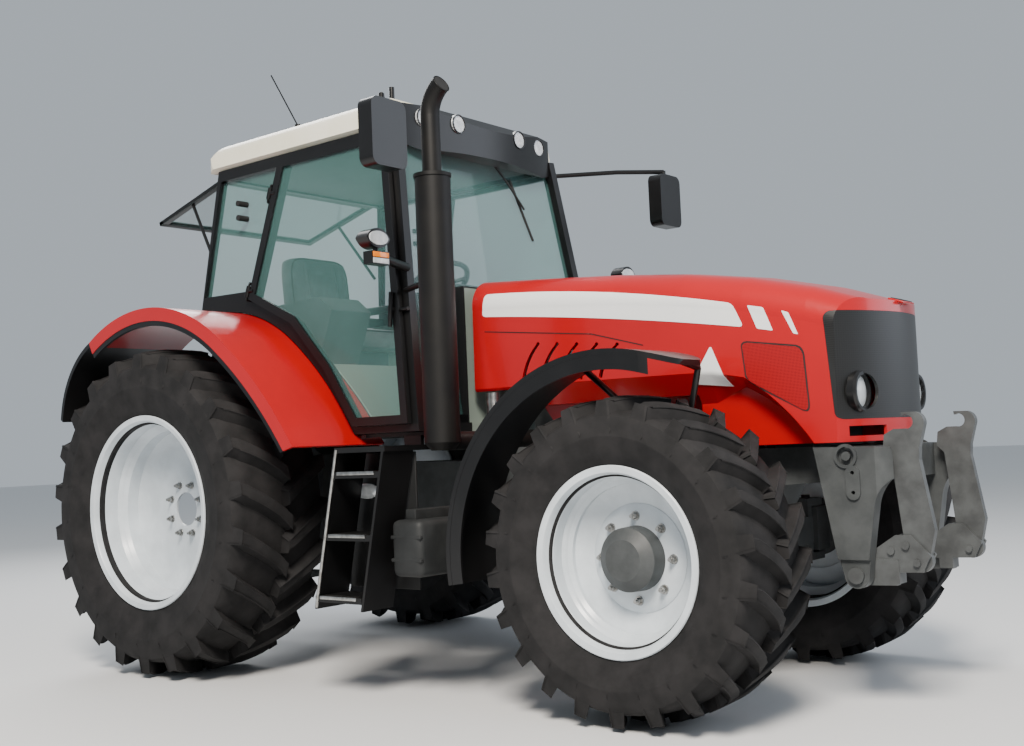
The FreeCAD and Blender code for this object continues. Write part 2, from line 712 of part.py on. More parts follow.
def finish(label, piece):
    piece.Label = label
    nodes[label] = piece
    return piece


def both(label, right):
    """A right-hand piece and its mirror image under one name."""
    right.Label = label + " right"
    return finish(label, fuse(label + "_pair", right, mirrored(label + "_mirror", right)))


def each(label, right):
    """A right-hand piece and its mirror image under two names."""
    finish(label + "_right", right)
    finish(label + "_left", mirrored(label + "_mirror", right))


# Wheels


def rear_wheel():
    rubber = tyre(
        "rear_tyre_shape",
        s.rear_tyre_r.value,
        s.rear_tyre_w.value,
        s.rear_lug_tall.value,
        s.rear_bead_r.value,
        s.rear_rim_w.value / 2 - BEAD_INSET,
    )
    place(rubber, 0, -s.rear_track_y, s.rear_tyre_r)
    each("rear_tyre", rubber)

    half, plate = s.rear_rim_w / 2, s.rim_plate
    seat = s.rear_bead_r * BEAD_FLAT - s.seat_gap
    well = seat - 42
    disc = -(half - s.rear_disc_inset)
    barrel = rim_shell(
        "rear_rim_barrel",
        [
            (-half, s.rear_flange_r),
            (-half + plate, s.rear_flange_r),
            (-half + 2 * plate, seat),
            (half - 2 * plate, seat),
            (half - plate, s.rear_flange_r),
            (half, s.rear_flange_r),
            (half, seat - plate),
            (half * 0.42, seat - 1.6 * plate),
            (half * 0.30, well),
            (-half * 0.30, well),
            (-half * 0.42, seat - 1.6 * plate),
            (-half * 0.80, seat - 1.4 * plate),
            (-half, seat - plate),
        ],
    )
    place(barrel, 0, -s.rear_track_y, s.rear_tyre_r)
    face = -s.rear_track_y + disc
    bolt_rings = []
    for number in range(WHEEL_NUTS):
        angle = math.radians(360 / WHEEL_NUTS * (number + 0.5))
        u = s.rear_nut_circle_r * math.cos(angle)
        v = s.rear_tyre_r + s.rear_nut_circle_r * math.sin(angle)
        nut = rod(f"rear_nut{number}", "y", u, v, s.nut_r, face - 24, face + 1)
        bolt_rings.append(nut)
    plate_disc = prism(
        "rear_disc",
        "XZ",
        [Ring(0, s.rear_tyre_r, well + 12)],
        face,
        face + s.disc_plate,
    )
    hub = rod("rear_hub", "y", 0, s.rear_tyre_r, 105, face - 34, face + 1)
    drum = rod("rear_drum", "y", 0, s.rear_tyre_r, 150, face + s.disc_plate - 1, face + 90)
    shaft = rod(
        "rear_shaft", "y", 0, s.rear_tyre_r, s.half_shaft_r, face + 80, -s.trumpet_end_y - s.seat_gap
    )
    wheel = fuse("rear_wheel_shape", barrel, plate_disc, hub, drum, shaft, *bolt_rings)
    each("rear_wheel", wheel)


def front_wheel():
    axle = s.wheelbase
    rubber = tyre(
        "front_tyre_shape",
        s.front_tyre_r.value,
        s.front_tyre_w.value,
        s.front_lug_tall.value,
        s.front_bead_r.value,
        s.front_rim_w.value / 2 - BEAD_INSET,
    )
    place(rubber, axle, -s.front_track_y, s.front_tyre_r)
    each("front_tyre", rubber)

    half, plate = s.front_rim_w / 2, s.rim_plate
    seat = s.front_bead_r * BEAD_FLAT - s.seat_gap
    well = seat - 36
    disc = -(half - s.front_disc_inset)
    barrel = rim_shell(
        "front_rim_barrel",
        [
            (-half, s.front_flange_r),
            (-half + plate, s.front_flange_r),
            (-half + 2 * plate, seat),
            (half - 2 * plate, seat),
            (half - plate, s.front_flange_r),
            (half, s.front_flange_r),
            (half, seat - plate),
            (half * 0.42, seat - 1.6 * plate),
            (half * 0.28, well),
            (-half * 0.28, well),
            (-half * 0.42, seat - 1.6 * plate),
            (-half, seat - plate),
        ],
    )
    place(barrel, axle, -s.front_track_y, s.front_tyre_r)
    face = -s.front_track_y + disc
    nuts = []
    for number in range(WHEEL_NUTS):
        angle = math.radians(360 / WHEEL_NUTS * number)
        u = axle + s.front_nut_circle_r * math.cos(angle)
        v = s.front_tyre_r + s.front_nut_circle_r * math.sin(angle)
        nuts.append(rod(f"front_nut{number}", "y", u, v, s.nut_r, face - 20, face + 1))
    plate_disc = prism(
        "front_disc",
        "XZ",
        [Ring(axle, s.front_tyre_r, well + 12), Ring(axle, s.front_tyre_r, s.front_hub_r)],
        face,
        face + s.disc_plate,
    )
    each("front_wheel", fuse("front_wheel_shape", barrel, plate_disc, *nuts))

    inner = -s.knuckle_out_y - s.seat_gap
    drum_r = s.front_hub_r
    hub = turned(
        "front_hub_shape",
        [
            (inner, 0),
            (inner, drum_r - 20),
            (face + s.disc_plate, drum_r + 14),
            (face + s.disc_plate, drum_r),
            (face - 80, drum_r - 4),
            (face - s.front_hub_long, drum_r * 0.62),
            (face - s.front_hub_long, 0),
        ],
        axle,
        0,
        s.front_tyre_r,
    )
    each("front_hub", hub)


# Driveline and axles


def driveline():
    half = s.block_half_w
    finish(
        "engine_block",
        box(
            "engine",
            (s.engine_rear_x, s.engine_front_x),
            (-half, half),
            (s.engine_low_z, s.engine_top_z),
        ),
    )
    case_top = s.axle_case_top_z
    gearbox = prism(
        "gearbox_shape",
        "XZ",
        [
            [
                (s.axle_case_front_x, s.gearbox_low_z),
                (s.engine_rear_x - 220, s.gearbox_low_z + 40),
                (s.engine_rear_x, s.engine_low_z),
                (s.engine_rear_x, s.gearbox_top_z + 100),
                (s.engine_rear_x - 260, s.gearbox_top_z),
                (s.axle_case_front_x, s.gearbox_top_z),
            ]
        ],
        -half,
        half,
    )
    finish("gearbox", gearbox)

    wide = s.axle_case_half_w
    case = prism(
        "axle_case",
        "XZ",
        [
            [
                (s.axle_case_rear_x, s.axle_case_low_z + 60),
                (s.axle_case_rear_x + 90, s.axle_case_low_z),
                (s.axle_case_front_x, s.gearbox_low_z),
                (s.axle_case_front_x, case_top - 60),
                (s.axle_case_front_x - 90, case_top),
                (s.axle_case_rear_x + 60, case_top),
                (s.axle_case_rear_x, case_top - 80),
            ]
        ],
        -wide,
        wide,
    )
    end = s.trumpet_end_y
    trumpet = turned(
        "trumpet",
        [
            (-end, 0),
            (-end, s.trumpet_flange_r),
            (-end + s.trumpet_flange_thick, s.trumpet_flange_r),
            (-end + s.trumpet_flange_thick, s.trumpet_r),
            (-wide - 60, s.trumpet_r + 25),
            (-wide + 10, s.trumpet_r + 110),
            (-wide + 10, 0),
        ],
        0,
        0,
        s.rear_tyre_r,
    )
    solid = fuse("rear_axle_solid", case, trumpet, mirrored("trumpet_left", trumpet))
    bore = rod(
        "lift_shaft_bore",
        "y",
        s.rear_lift_x,
        s.rear_lift_z,
        s.rear_lift_r + s.seat_gap,
        -wide - 1,
        wide + 1,
    )
    finish("rear_axle_housing", cut("rear_axle_shape", solid, bore))

    shaft = fuse(
        "drive_shaft_shape",
        rod(
            "shaft_tube",
            "x",
            0,
            s.drive_shaft_z,
            s.drive_shaft_r,
            s.engine_rear_x - 221,
            s.wheelbase - s.saddle_half_x,
        ),
        rod("shaft_joint", "x", 0, s.drive_shaft_z, 55, s.engine_rear_x - 222, s.engine_rear_x - 110),
    )
    finish("drive_shaft", cut("drive_shaft_seated", shaft, gearbox))

    half_pack = s.fan_pack_half_w
    pack = fuse(
        "radiator_shape",
        box(
            "radiator_core",
            (s.fan_pack_rear_x + 70, s.fan_pack_front_x),
            (-half_pack, half_pack),
            (s.frame_top_z, s.fan_pack_top_z),
        ),
        rod("fan_shroud", "x", 0, 1340, 225, s.fan_pack_rear_x, s.fan_pack_rear_x + 71),
    )
    finish("radiator_pack", pack)


def front_frame():
    half, axle = s.frame_half_w, s.wheelbase
    spine = prism(
        "frame_spine",
        "XZ",
        [
            [
                (s.engine_front_x, s.engine_low_z),
                (axle - s.saddle_half_x, s.engine_low_z),
                (axle - s.saddle_half_x, s.front_tyre_r + s.beam_centre_half_z + s.running_gap),
                (axle + s.saddle_half_x, s.front_tyre_r + s.beam_centre_half_z + s.running_gap),
                (axle + s.saddle_half_x + 60, s.frame_low_z - 20),
                (s.cheek_rear_x, s.frame_low_z),
                (s.cheek_rear_x, s.frame_top_z),
                (s.engine_front_x, s.frame_top_z),
            ]
        ],
        -half,
        half,
    )
    lug_low = s.front_tyre_r - 70
    ears = [
        prism(
            f"saddle_{name}",
            "YZ",
            [
                [
                    (-110, s.frame_low_z - 100),
                    (-80, lug_low),
                    (80, lug_low),
                    (110, s.frame_low_z - 100),
                ]
            ],
            low,
            high,
        )
        for name, low, high in (
            ("rear", axle - s.saddle_half_x, axle - s.beam_half_x - 40),
            ("front", axle + s.beam_half_x + 40, axle + s.saddle_half_x),
        )
    ]
    pin = rod(
        "axle_pin",
        "x",
        0,
        s.front_tyre_r,
        40,
        axle - s.saddle_half_x + 5,
        axle + s.saddle_half_x - 5,
    )
    outer, plate = s.cheek_half_w, s.cheek_plate
    boss_x, boss_z, boss_r = s.cheek_boss_x, s.cheek_boss_z, s.cheek_boss_r
    cheek = prism(
        "frame_cheek",
        "XZ",
        [
            [
                (s.cheek_rear_x - 25, s.frame_top_z),
                (boss_x - 72, boss_z + 80),
                (boss_x - boss_r, boss_z),
                Via(boss_x, boss_z - boss_r),
                (boss_x + boss_r, boss_z),
                (boss_x + 62, boss_z + 80),
                (boss_x + 95, s.frame_low_z - 90),
                Via(boss_x + 118, s.frame_low_z - 30),
                (s.frame_front_x, s.frame_low_z + 20),
                (s.frame_front_x - 15, s.frame_top_z - 10),
            ],
            Ring(boss_x, boss_z, s.front_lift_r + s.seat_gap),
        ],
        -outer,
        -outer + plate,
    )
    port_x, port_z = boss_x - 12, s.frame_top_z - 40
    rim = rod("cheek_rim", "y", port_x, port_z, s.cheek_port_r + 12, -outer - 8, -outer + 1)
    recess = rod("cheek_recess", "y", port_x, port_z, s.cheek_port_r, -outer - 10, -outer + 16)
    bolt = rod("cheek_bolt", "y", port_x, port_z, s.cheek_port_r * 0.5, -outer - 2, -outer + 17)
    slot_x, slot_z = boss_x + 14, s.frame_top_z - 145
    half_gap, slot_r = s.cheek_hole_gap / 2, s.cheek_slot_r
    plate_face = prism(
        "cheek_slot_plate",
        "XZ",
        [
            [
                (slot_x - slot_r, slot_z - half_gap),
                Via(slot_x, slot_z - half_gap - slot_r),
                (slot_x + slot_r, slot_z - half_gap),
                (slot_x + slot_r, slot_z + half_gap),
                Via(slot_x, slot_z + half_gap + slot_r),
                (slot_x - slot_r, slot_z + half_gap),
            ],
            Ring(slot_x, slot_z - half_gap, 8),
            Ring(slot_x, slot_z + half_gap, 8),
        ],
        -outer - 9,
        -outer + 1,
    )
    holes = [
        rod(f"cheek_hole{n}", "y", slot_x, slot_z + half_gap * side, 8, -outer - 10, -outer + 24)
        for n, side in enumerate((-1, 1))
    ]
    lug_cut = box(
        "cheek_lug_cut",
        (boss_x - 110, boss_x + 90),
        (-outer - 5, -outer + 14),
        (boss_z - boss_r - 10, boss_z + 62),
    )
    nose_cut = prism(
        "cheek_nose_cut",
        "XY",
        [
            [
                (s.frame_front_x - 110, -outer - 20),
                (s.frame_front_x + 20, -outer - 20),
                (s.frame_front_x + 20, -outer + plate + 5),
                (s.frame_front_x - 8, -outer + plate + 5),
                Via(s.frame_front_x - 40, -outer + 15),
            ]
        ],
        s.frame_low_z - 120,
        s.frame_top_z + 20,
    )
    cheek = cut("cheek_bare", fuse("cheek_faced", cheek, rim, plate_face), recess, lug_cut, nose_cut, *holes)
    cheek = fuse("cheek_full", cheek, bolt)
    head = prism(
        "frame_head",
        "XZ",
        [
            [
                (s.cheek_rear_x - 1, s.frame_low_z),
                (s.frame_front_x - 95, s.frame_low_z),
                (s.frame_front_x - 95, s.frame_top_z - 6),
                (s.cheek_rear_x - 1, s.frame_top_z),
            ]
        ],
        -outer + plate - 1,
        outer - plate + 1,
    )
    frame = fuse("front_frame_shape", spine, *ears, pin, cheek, mirrored("frame_cheek_left", cheek), head)
    finish("front_frame", frame)


def front_axle():
    axle, middle = s.wheelbase, s.front_tyre_r
    inner = s.kingpin_y - 95
    beam = prism(
        "beam_shape",
        "YZ",
        [
            [
                (-inner, middle - s.beam_end_half_z),
                (-260, middle - s.beam_end_half_z - 25),
                (-120, middle - s.beam_centre_half_z),
                (120, middle - s.beam_centre_half_z),
                (260, middle - s.beam_end_half_z - 25),
                (inner, middle - s.beam_end_half_z),
                (inner, middle + s.beam_end_half_z),
                (260, middle + s.beam_end_half_z + 10),
                (120, middle + s.beam_centre_half_z),
                (-120, middle + s.beam_centre_half_z),
                (-260, middle + s.beam_end_half_z + 10),
                (-inner, middle + s.beam_end_half_z),
            ],
            Ring(0, middle, 40 + s.seat_gap),
        ],
        axle - s.beam_half_x,
        axle + s.beam_half_x,
    )
    ends = []
    for name, side in (("right", -1), ("left", 1)):
        back = side * (s.kingpin_y - 95)
        web = side * (s.kingpin_y - 88)
        tip = side * (s.kingpin_y + 34)
        for label, low, high in (
            ("top", middle + s.yoke_half_z - s.yoke_ear, middle + s.yoke_half_z),
            ("low", middle - s.yoke_half_z, middle - s.yoke_half_z + s.yoke_ear),
        ):
            near, far = (tip, back) if side < 0 else (back, tip)
            ends.append(
                box(
                    f"yoke_{name}_{label}",
                    (axle - s.yoke_half_x, axle + s.yoke_half_x),
                    (near, far),
                    (low, high),
                )
            )
        near, far = (web, side * (s.kingpin_y - 130)) if side < 0 else (side * (s.kingpin_y - 130), web)
        ends.append(
            box(
                f"yoke_{name}_web",
                (axle - s.yoke_half_x, axle + s.yoke_half_x),
                (near, far),
                (middle - s.yoke_half_z, middle + s.yoke_half_z),
            )
        )
        ends.append(
            rod(
                f"kingpin_{name}",
                "z",
                axle,
                side * s.kingpin_y,
                22,
                middle - s.yoke_half_z + 1,
                middle + s.yoke_half_z + 14,
            )
        )
    finish("front_axle_beam", fuse("front_axle_shape", beam, *ends))


def knuckles():
    axle, middle = s.wheelbase, s.front_tyre_r
    gap = s.running_gap
    body = box(
        "knuckle_block",
        (axle - s.knuckle_half_x, axle + s.knuckle_half_x),
        (-s.knuckle_out_y, -s.kingpin_y + 42),
        (middle - s.yoke_half_z + s.yoke_ear + gap, middle + s.yoke_half_z - s.yoke_ear - gap),
    )
    bore = rod("knuckle_bore", "z", axle, -s.kingpin_y, 22 + s.seat_gap, middle - 200, middle + 200)
    arm = box(
        "steering_arm",
        (axle - s.knuckle_half_x - 130, axle - s.knuckle_half_x + 1),
        (-s.kingpin_y - 35, -s.kingpin_y - 5),
        (middle - 30, middle + 20),
    )
    knuckle = cut("knuckle_shape", fuse("knuckle_solid", body, arm), bore)
    each("knuckle", knuckle)

    inner, outer = s.front_fender_in_r, s.front_fender_in_r + s.front_fender_thick
    tip, tail = math.radians(s.front_fender_tip_deg.value), math.radians(s.front_fender_tail_deg.value)
    crown = (tip + tail) / 2

    def at(radius, angle):
        return axle + radius * math.cos(angle), middle + radius * math.sin(angle)

    def arch(low, high):
        return [at(low, tip), Via(*at(low, crown)), at(low, tail), at(high, tail), Via(*at(high, crown)), at(high, tip)]

    top = prism(
        "front_fender_top",
        "XZ",
        [arch(inner, outer)],
        -s.front_fender_out_y,
        -s.front_fender_in_y,
    )
    lip = prism(
        "front_fender_lip_shape",
        "XZ",
        [arch(inner - s.front_fender_lip, inner + s.front_fender_thick / 2)],
        -s.front_fender_out_y + 1,
        -s.front_fender_out_y + 14,
    )
    tip_x = axle + outer * math.cos(tip)
    round_in, round_out = s.front_fender_round, s.front_fender_round * 2
    out_y, in_y = -s.front_fender_out_y, -s.front_fender_in_y
    plan = prism(
        "front_fender_plan",
        "XY",
        [
            [
                (axle - outer - 20, out_y - 5),
                (tip_x - round_out, out_y - 5),
                Via(tip_x - round_out * 0.29, out_y + round_out * 0.22),
                (tip_x, out_y + round_out * 0.75),
                (tip_x, in_y - round_in),
                Via(tip_x - round_in * 0.29, in_y - round_in * 0.29),
                (tip_x - round_in, in_y + 5),
                (axle - outer - 20, in_y + 5),
            ]
        ],
        middle - 200,
        middle + outer + 20,
    )
    top = common("front_fender_bent", fuse("front_fender_square", top, lip), plan)
    bracket_y = -s.front_track_y + s.front_tyre_w / 2 + 20
    rail_y = bracket_y + 20
    level = middle + s.yoke_half_z + 45
    stay_low = (axle, rail_y, level)
    knees = []
    for name, angle, drop in (("front", 80, 46), ("rear", 108, 140)):
        x, z = at(inner + 8, math.radians(angle))
        start = (x, rail_y, z - drop)
        knees.append(strut(f"fender_stay_{name}", stay_low, start, 14))
        knees.append(strut(f"fender_stay_{name}_top", start, (x, -s.front_fender_in_y - 60, z), 14))
    post_x = axle - s.knuckle_half_x - 112
    post_y = -s.kingpin_y - 20
    post = box(
        "fender_post",
        (post_x - 14, post_x + 14),
        (post_y - 14, post_y + 14),
        (middle + 20 + s.seat_gap, level + 14),
    )
    bar = box(
        "fender_bar",
        (post_x - 14, post_x + 14),
        (post_y - 14, rail_y + 17),
        (level - 14, level + 14),
    )
    rail = box(
        "fender_rail_bar",
        (post_x - 14, axle + 45),
        (rail_y - 17, rail_y + 17),
        (level - 17, level + 17),
    )
    each("front_fender", fuse("front_fender_shape", top, post, bar, rail, *knees))


# Shapes that several pieces share


def toward_axle(point, depth):
    """A fender point moved in toward the rear axle by depth, or out where depth is negative."""
    x, z = as_size(point[0]), as_size(point[1])
    rise = z.value - s.rear_tyre_r.value
    far = math.hypot(x.value, rise)
    return x - as_size(depth) * (x.value / far), z - as_size(depth) * (rise / far)


FENDER_TAIL = (s.fender_tail_x, s.fender_tail_z)
FENDER_CROWN = (s.fender_crown_x, s.fender_crown_z)
FENDER_SHOULDER = (s.fender_shoulder_x, s.fender_shoulder_z)
FENDER_SLOPE = (s.fender_slope_x, s.fender_slope_z)
FENDER_FOOT = (s.fender_foot_x, s.fender_foot_z)


def fender_band(outer, inner):
    """The fender's side view between two depths below its top."""
    near = [toward_axle(p, outer) for p in (FENDER_TAIL, FENDER_SHOULDER, FENDER_FOOT)]
    far = [toward_axle(p, inner) for p in (FENDER_TAIL, FENDER_SHOULDER, FENDER_FOOT)]
    return [
        near[0],
        Via(*toward_axle(FENDER_CROWN, outer)),
        near[1],
        Via(*toward_axle(FENDER_SLOPE, outer)),
        near[2],
        far[2],
        Via(*toward_axle(FENDER_SLOPE, inner)),
        far[1],
        Via(*toward_axle(FENDER_CROWN, inner)),
        far[0],
    ]


def circle_through(first, second, third):
    """Centre and radius of the circle through three points."""
    (ax, az), (bx, bz), (cx, cz) = [[as_size(v).value for v in p] for p in (first, second, third)]
    d = 2 * (ax * (bz - cz) + bx * (cz - az) + cx * (az - bz))
    a2, b2, c2 = ax * ax + az * az, bx * bx + bz * bz, cx * cx + cz * cz
    x = (a2 * (bz - cz) + b2 * (cz - az) + c2 * (az - bz)) / d
    z = (a2 * (cx - bx) + b2 * (ax - cx) + c2 * (bx - ax)) / d
    return x, z, math.hypot(ax - x, az - z)


def crown_height(x):
    """Height of the fender's crown arc at x."""
    centre_x, centre_z, radius = circle_through(FENDER_TAIL, FENDER_CROWN, FENDER_SHOULDER)
    return centre_z + math.sqrt(radius**2 - (x - centre_x) ** 2)


def slope_x(z):
    """Where the fender's front slope comes down to height z."""
    centre_x, centre_z, radius = circle_through(FENDER_SHOULDER, FENDER_SLOPE, FENDER_FOOT)
    return centre_x + math.sqrt(radius**2 - (z - centre_z) ** 2)


LEAN = math.radians(s.cab_lean_deg.value)


def up(z):
    """Height z as a distance up the leaning side of the cab."""
    return (as_size(z) - s.cab_sill_z) * (1 / math.cos(LEAN))


SIDE_TALL = up(s.roof_low_z - s.seat_gap)


def on_side(x, rise, out):
    """A point of the right-hand cab side: x, rise up its lean, and out from its face."""
    y = -s.cab_side_y.value + rise * math.sin(LEAN) - out * math.cos(LEAN)
    z = s.cab_sill_z.value + rise * math.cos(LEAN) + out * math.sin(LEAN)
    return x, y, z


def lean_in(piece):
    """Puts a side panel, drawn upright from the sill, on the right-hand side with its lean."""
    return place(piece, 0, -s.cab_side_y, s.cab_sill_z, (1, 0, 0), -s.cab_lean_deg)


def offset(outline, amount):
    """A straight-sided anticlockwise or clockwise outline moved outward by amount."""
    points = [(as_size(u).value, as_size(v).value) for u, v in outline]
    count = len(points)
    area = sum(
        points[i][0] * points[(i + 1) % count][1] - points[(i + 1) % count][0] * points[i][1]
        for i in range(count)
    )
    sign = 1 if area > 0 else -1
    moved = []
    for i in range(count):
        before, here, after = points[i - 1], points[i], points[(i + 1) % count]
        first = unit(here[0] - before[0], here[1] - before[1])
        second = unit(after[0] - here[0], after[1] - here[1])
        n1 = (sign * first[1], -sign * first[0])
        n2 = (sign * second[1], -sign * second[0])
        scale = as_size(amount).value / (1 + n1[0] * n2[0] + n1[1] * n2[1])
        moved.append((here[0] + scale * (n1[0] + n2[0]), here[1] + scale * (n1[1] + n2[1])))
    return moved


def unit(u, v):
    far = math.hypot(u, v)
    return u / far, v / far


def pillar_x(foot, head, rise):
    """x of a pillar edge at a rise up the side, between its foot and head."""
    share = as_size(rise) / SIDE_TALL
    return foot + (head - foot) * share


def door_opening():
    """Corners of the door opening in the side of the cab."""
    top = SIDE_TALL - s.pillar_w
    low = as_size(18)
    shoulder = toward_axle(FENDER_SHOULDER, -s.fender_rail)
    slope = toward_axle(FENDER_SLOPE, -s.fender_rail * 0.75)
    b_low = up(crown_height(s.b_pillar_foot_x.value + 80)) + s.fender_rail
    return [
        (pillar_x(s.a_pillar_foot_x, s.a_pillar_head_x, low) - s.pillar_w, low),
        (pillar_x(s.a_pillar_foot_x, s.a_pillar_head_x, top) - s.pillar_w, top),
        (s.b_pillar_head_x + s.pillar_w - 8, top),
        (s.b_pillar_foot_x + s.pillar_w + 12, b_low),
        (shoulder[0], up(shoulder[1])),
        (slope[0], up(slope[1])),
        (slope_x(s.cab_sill_z.value) + 56, low),
    ]


def quarter_opening():
    """Corners of the fixed rear side window."""
    top = SIDE_TALL - s.pillar_w
    low = up(s.fender_crown_z) + s.fender_rail
    return [
        (s.c_pillar_foot_x + s.c_pillar_w, low),
        (s.c_pillar_head_x + s.c_pillar_w, top),
        (s.b_pillar_head_x - 20, top),
        (s.b_pillar_foot_x + 18, low - 6),
    ]


# Cab


def cab_frame():
    base = s.cab_plate * math.sin(LEAN) + s.seat_gap
    foot_x = slope_x(s.cab_floor_z.value + 8)
    outline = [
        (s.a_pillar_foot_x, s.cab_floor_z - s.cab_sill_z),
        (s.a_pillar_head_x, SIDE_TALL),
        (s.c_pillar_head_x, SIDE_TALL),
        (s.c_pillar_foot_x, up(crown_height(s.c_pillar_foot_x.value)) + base),
        Via(s.fender_crown_x + 180, up(crown_height(s.fender_crown_x.value + 180)) + base),
        (s.fender_shoulder_x + 3, up(s.fender_shoulder_z) + base),
        Via(s.fender_slope_x + 4, up(s.fender_slope_z) + base),
        (foot_x + 6, s.cab_floor_z - s.cab_sill_z),
    ]
    side = lean_in(
        prism("side_frame", "XZ", [outline, door_opening(), quarter_opening()], 0, s.cab_plate)
    )
    half_top = s.cab_side_y - SIDE_TALL * math.sin(LEAN)
    rails = [
        box("header_front", (s.a_pillar_head_x - 70, s.a_pillar_head_x - 8), (-half_top, half_top), (s.roof_low_z - 2 - s.header_tall, s.roof_low_z - 2)),
        box("header_rear", (s.c_pillar_head_x, s.c_pillar_head_x + 45), (-half_top, half_top), (s.roof_low_z - 55, s.roof_low_z - 2)),
        box("rail_rear", (s.cab_rear_x, s.cab_rear_x + 55), (-700, 700), (s.rear_sill_z + 2, s.rear_sill_z + 60)),
    ]
    foot_rail = box(
        "rail_front",
        (s.a_pillar_foot_x - 70, s.a_pillar_foot_x - 14 - s.seat_gap),
        (-s.cab_side_y + 30, -s.cowl_half_w - s.seat_gap),
        (s.cab_floor_z + s.seat_gap, s.cab_sill_z + 40),
    )
    hinges = []
    for number, rise in enumerate(HINGE_RISES):
        x, y, z = hinge_point(rise)
        start, end = hinge_point(rise - 46), hinge_point(rise + 46)
        hinges.append(strut(f"hinge_pin{number}", start, end, 6))
        for shift, label in ((-42, "low"), (42, "high")):
            a, b = hinge_point(rise + shift), on_side(hinge_x(rise + shift), rise + shift, -12)
            hinges.append(strut(f"hinge_arm{number}_{label}", a, b, 9))
    seated = cut("side_frame_seated", side, FENDER_TOPS["right"])
    right = fuse("cab_side_right", seated, foot_rail, *hinges)
    finish("cab_frame", fuse("cab_frame_shape", right, mirrored("cab_side_left", right), *rails))


FENDER_TOPS = {}
HINGE_RISES = (770, 1290)
HINGE_OUT = 34


def hinge_x(rise):
    """x of the door's hinge axis at a rise up the cab side."""
    low, high = door_opening()[3], door_opening()[2]
    share = (rise - low[1].value) / (high[1].value - low[1].value)
    edge = low[0].value + (high[0].value - low[0].value) * share
    return edge - s.door_overlap.value - 20


def hinge_point(rise):
    return on_side(hinge_x(rise), rise, HINGE_OUT)


def cab_tub():
    sheet, inner = s.cab_sheet, s.cab_inner_y
    floor = s.cab_floor_z
    foot_x = slope_x(floor.value - 20)
    wall = prism(
        "tub_wall",
        "XZ",
        [
            [
                (s.cab_rear_x, s.cab_step_z - sheet),
                (s.cab_rear_x, crown_height(s.cab_rear_x.value)),
                Via(s.fender_crown_x + 150, crown_height(s.fender_crown_x.value + 150)),
                FENDER_SHOULDER,
                Via(*FENDER_SLOPE),
                (foot_x, floor - sheet),
                (s.cab_step_x - sheet, floor - sheet),
                (s.cab_step_x - sheet, s.cab_step_z - sheet),
            ]
        ],
        -inner - sheet,
        -inner,
    )
    wide = s.cab_side_y - s.cab_plate - 4
    sheets = [
        box("tub_floor", (s.cab_step_x - sheet, s.a_pillar_foot_x - 10), (-inner, inner), (floor - sheet, floor)),
        box("tub_floor_wide", (foot_x + 12, s.a_pillar_foot_x - 10), (-wide, wide), (floor - sheet, floor)),
        box("tub_riser", (s.cab_step_x - sheet, s.cab_step_x), (-inner, inner), (floor - sheet, s.cab_step_z)),
        box("tub_platform", (s.cab_rear_x, s.cab_step_x), (-inner, inner), (s.cab_step_z - sheet, s.cab_step_z)),
        box("tub_rear", (s.cab_rear_x - sheet, s.cab_rear_x), (-inner - sheet, inner + sheet), (s.axle_case_top_z + 40, s.rear_sill_z)),
        box("tub_cowl", (s.a_pillar_foot_x - 62, s.a_pillar_foot_x - 12), (-s.cowl_half_w, s.cowl_half_w), (floor - sheet, s.cowl_top_z)),
        box("tub_toe", (s.a_pillar_foot_x - 14, s.a_pillar_foot_x + 4), (-wide, wide), (s.gearbox_top_z + 100, s.cab_sill_z)),
    ]
    posts = []
    for number, (x, y, low, high) in enumerate(
        (
            (s.a_pillar_foot_x - 190, 150, s.gearbox_top_z, floor - sheet),
            (s.a_pillar_foot_x - 190, -150, s.gearbox_top_z, floor - sheet),
            (30, 200, s.axle_case_top_z, s.cab_step_z - sheet),
            (30, -200, s.axle_case_top_z, s.cab_step_z - sheet),
        )
    ):
        posts.append(rod(f"cab_mount{number}", "z", x, y, 45, low, high + 1))
    hx, hy, hz = s.hood_hinge_x, s.hood_hinge_y, s.hood_hinge_z
    cowl_front = s.a_pillar_foot_x - 13
    lug = prism(
        "hood_lug",
        "XZ",
        [
            [
                (cowl_front, hz - 70),
                (hx, hz - 18),
                Via(hx + 18, hz),
                (hx, hz + 18),
                (hx - 12, hz + 10),
                (cowl_front, hz - 30),
            ]
        ],
        -hy - 10,
        -hy + 10,
    )
    pin = rod("hood_pin", "y", hx, hz, s.hood_pin_r, -hy + 9, -hy + 44)
    hinge = fuse("hood_hinge", lug, pin)
    walls = [wall, mirrored("tub_wall_left", wall), hinge, mirrored("hood_hinge_left", hinge)]
    finish("cab_tub", fuse("cab_tub_shape", *walls, *sheets, *posts))


